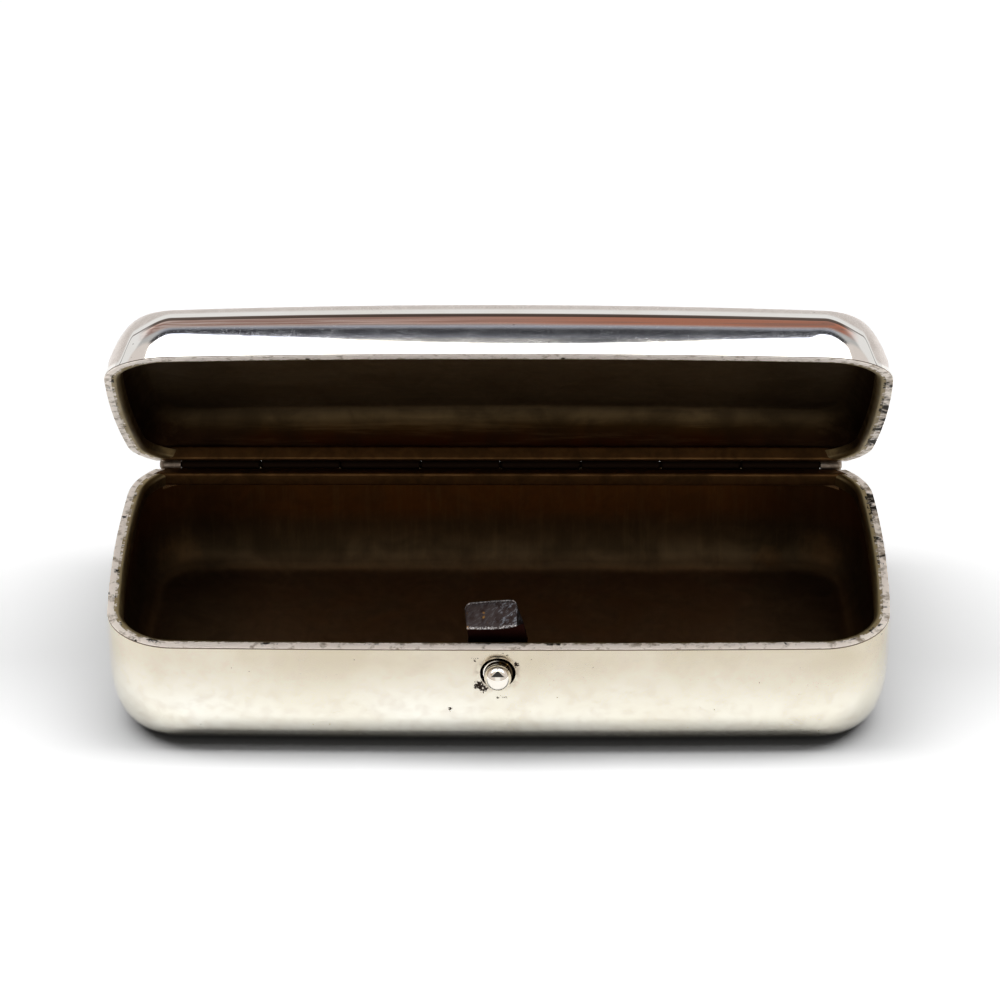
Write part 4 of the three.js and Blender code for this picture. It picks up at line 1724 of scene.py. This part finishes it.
def tent_level(aside, climbed):
    level = lay((1, 1, 1), spread(aside, *SIDE_FADE), SIDE_LEVEL)
    slope = (OPENING_TIP - climbed) * OPENING_SLOPE
    opening = spread(slope - aside, -3.0, 3.0) * spread(climbed, *OPENING_SILL)
    level = lay(level, opening, DARK_OPENING)
    curved = least(work_out("POWER", aside, 2.0) * LAMP_CURVE, LAMP_CURVE_MOST)
    past = climbed - (curved + LAMP_EDGE)
    behind = spread(past, -EDGE_SOFT, EDGE_SOFT) * spread(climbed, 182.0, 178.0)
    behind = behind * spread(aside - (climbed - 104.0) * 0.9, *ROOF_ENDS)
    level = lay(level, behind, roof(climbed, curved))
    lamp = spread(climbed, *LAMP_FRONT) * spread(past, EDGE_SOFT, -EDGE_SOFT)
    lamp = lamp * spread(aside + (climbed - 80.0) * 0.85, *LAMP_ENDS)
    return lay(level, lamp, (LAMP_LEVEL, LAMP_LEVEL, LAMP_LEVEL))


def tent():
    world = bpy.data.worlds.new("tent")
    bpy.context.scene.world = world
    world.use_nodes = True
    tree = world.node_tree
    tree.nodes.clear()
    level = tent_level(*directions(tree))
    mirrored = ray(tree, "Is Glossy Ray") * work_out("LESS_THAN", ray(tree, "Diffuse Depth"), 0.5)
    colour = lay(UNSEEN_LEVEL, mirrored, level)
    colour = lay(colour, ray(tree, "Is Camera Ray"), (1, 1, 1))
    background = wire_from(tree, "ShaderNodeBackground", {"Color": colour, "Strength": 1.0})
    add_node(tree, "ShaderNodeOutputWorld", {"Surface": background})
    print("tent nodes", len(tree.nodes))


tent()

# %% [markdown]
# Two lamps overhead light the table and give the box its shadow: a narrow one, whose shadow is
# soft along the box and crisper in front, and a fainter one further forward. The metals don't
# mirror them, since the lamp that they mirror is painted in the tent.

# %% Lamps overhead
LAMP_HEIGHT = 1.2


def overhead_lamp(name, size_x, size_y, place_y, watts):
    data = bpy.data.lights.new(name, "AREA")
    data.shape = "RECTANGLE"
    data.size = size_x
    data.size_y = size_y
    data.energy = watts
    lamp = bpy.data.objects.new(name, data)
    bpy.context.scene.collection.objects.link(lamp)
    lamp.location = (0, place_y, LAMP_HEIGHT)
    lamp.visible_glossy = False
    print("lamp", name, "watts", watts)


overhead_lamp("overhead", 2.7, 0.42, 0.05, 15.2)
overhead_lamp("fill", 2.4, 0.8, -0.105, 3.2)
bpy.context.scene.view_settings.view_transform = "Standard"
